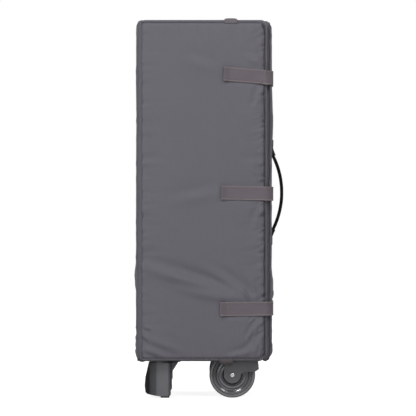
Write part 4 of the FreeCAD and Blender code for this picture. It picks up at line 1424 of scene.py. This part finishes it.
def rivet_profile(reach):
    """An axle's flat riveted head with a small dimple in it."""
    cap = reach - 0.0015
    return [(0.0, reach - 0.0009), (0.0012, reach - 0.0009), (0.0017, reach - 0.0001), (0.0026, reach),
            (0.0038, reach - 0.0004), (0.0045, reach - 0.0010), (0.0048, cap), (0.0040, cap)]


def wheels():
    """Tyre, disc and riveted axle, turned about the wheel's own axis."""
    axle_low, axle_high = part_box("wheel_axles")
    for depth in ("front", "back"):
        low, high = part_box("tyre_" + depth)
        disc_low, disc_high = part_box("wheel_disc_" + depth)
        middle = (low + high) / 2
        rim = (disc_high.z - disc_low.z) / 2
        disc_half = (disc_high.y - disc_low.y) / 2
        reach = (middle.y - axle_low.y) if depth == "front" else (axle_high.y - middle.y)
        tyre = lathe("wheel_tyre_" + depth, tyre_profile(rim, disc_half, (high.z - low.z) / 2,
                                                         (high.y - low.y) / 2), middle, "tyre", 128)
        finish_piece(tyre, "wheel_" + depth, "tyre_rubber", "tyre_" + depth)
        disc = lathe("wheel_disc_moulding_" + depth, disc_profile(rim, disc_half), middle, "disc", 96)
        finish_piece(disc, "wheel_" + depth, "wheel_plastic", "wheel_disc_" + depth)
        axle = lathe("wheel_axle_" + depth, rivet_profile(reach), middle, "rivet", 40)
        finish_piece(axle, "root", "steel", "wheel_axles")


SPRING_HEIGHT = 0.0098
SPRING_RADIUS = 0.0044
SPRING_WIRE = 0.0005
SPRING_COILS = 5
COIL_STEPS = 20


def latch_springs():
    """A coil spring between each latch housing and its release button."""
    for side in ("front", "back", "left", "right"):
        button_low, button_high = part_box("latch_button_" + side)
        middle = (button_low + button_high) / 2
        base = button_high.z + 0.0001
        path = []
        for k in range(SPRING_COILS * COIL_STEPS + 1):
            angle = 2 * math.pi * k / COIL_STEPS
            rise = SPRING_WIRE + (SPRING_HEIGHT - 2 * SPRING_WIRE) * k / (SPRING_COILS * COIL_STEPS)
            path.append(Vector((middle.x + SPRING_RADIUS * math.cos(angle),
                                middle.y + SPRING_RADIUS * math.sin(angle), base + rise)))
        coil = tidy(tube("latch_spring_" + side, path, SPRING_WIRE, "steel"))
        finish_piece(coil, None, "steel", "latch_springs")
        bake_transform(coil)


# ---------------------------------------------------------------- folded walls

PLEATS = 11
PLEAT_HALF = 0.051
PLEAT_DEPTH = 0.0060
PLEAT_COLUMNS = PLEATS * 10
PLEAT_ROWS = 90
WALL_THICKNESS = 0.0007
# The part of a wall's height that is net.
NET_START, NET_END = 0.06, 0.80


def folded_wall(name, along, outward, middle, low_z, high_z, seed):
    """One cloth wall, gathered into pleats inside a pair of legs."""
    points = []
    for j in range(PLEAT_ROWS + 1):
        z = low_z + (high_z - low_z) * j / PLEAT_ROWS
        for i in range(PLEAT_COLUMNS + 1):
            share = i / PLEAT_COLUMNS
            turn = share * PLEATS * 2 * math.pi + 0.9 * wave(z / 0.20, share * 2.0, seed)
            depth = 0.12 + 0.80 * (0.5 + 0.5 * math.sin(turn)) + 0.08 * wave(z / 0.05, i / 9.0, seed + 3)
            u = (share - 0.5) * 2 * PLEAT_HALF
            u += 0.0022 * math.sin(2 * turn) + 0.0010 * wave(z / 0.08, i / 7.0, seed + 7)
            v = -WALL_THICKNESS - (PLEAT_DEPTH - 2 * WALL_THICKNESS) * depth
            points.append(middle + along * u + outward * v + Vector((0, 0, z)))
    faces = grid_faces(PLEAT_COLUMNS + 1, PLEAT_ROWS + 1)
    cloth = mesh_object("folded_wall_" + name, points, faces, "walls", "net")
    slots = [int(NET_START < (f // PLEAT_COLUMNS) / PLEAT_ROWS < NET_END) for f in range(len(faces))]
    cloth.data.polygons.foreach_set("material_index", slots)
    solid = cloth.modifiers.new("cloth", "SOLIDIFY")
    solid.thickness = WALL_THICKNESS
    solid.offset = 0
    apply_modifiers(cloth)
    finish_piece(cloth, "root", "wall_fabric", "folded_walls")


def folded_walls():
    low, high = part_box("folded_walls")
    for name, along, outward, middle, seed in (
            ("front", ALONG_X, -ALONG_Y, Vector((MIDDLE_X, low.y, 0)), 200.0),
            ("back", -ALONG_X, ALONG_Y, Vector((MIDDLE_X, high.y, 0)), 230.0),
            ("left", -ALONG_Y, -ALONG_X, Vector((low.x, MIDDLE_Y, 0)), 260.0),
            ("right", ALONG_Y, ALONG_X, Vector((high.x, MIDDLE_Y, 0)), 290.0)):
        folded_wall(name, along, outward, middle, low.z, high.z, seed)


camera_and_light()
white_room()
studio_floor()
paint_cad_nodes()

shells = panels()
trees = {name: surface_finder(shell) for name, shell in shells.items()}
for name, panel in PANELS.items():
    piping(panel, trees[name])
fold_cloth("back_left", PANELS["back"], PANELS["left"])
fold_cloth("front_left", PANELS["left"], PANELS["front"])
fold_cloth("back_right", PANELS["right"], PANELS["back"])
for strap in STRAPS:
    closing_strap(strap, trees)
strap_patches(trees["front"])
handle_grip()
handle_patch("upper", 1, trees["right"])
handle_patch("lower", -1, trees["right"])
webbing_tabs()
pull_tab()
moulded_pieces()
wheels()
latch_springs()
folded_walls()
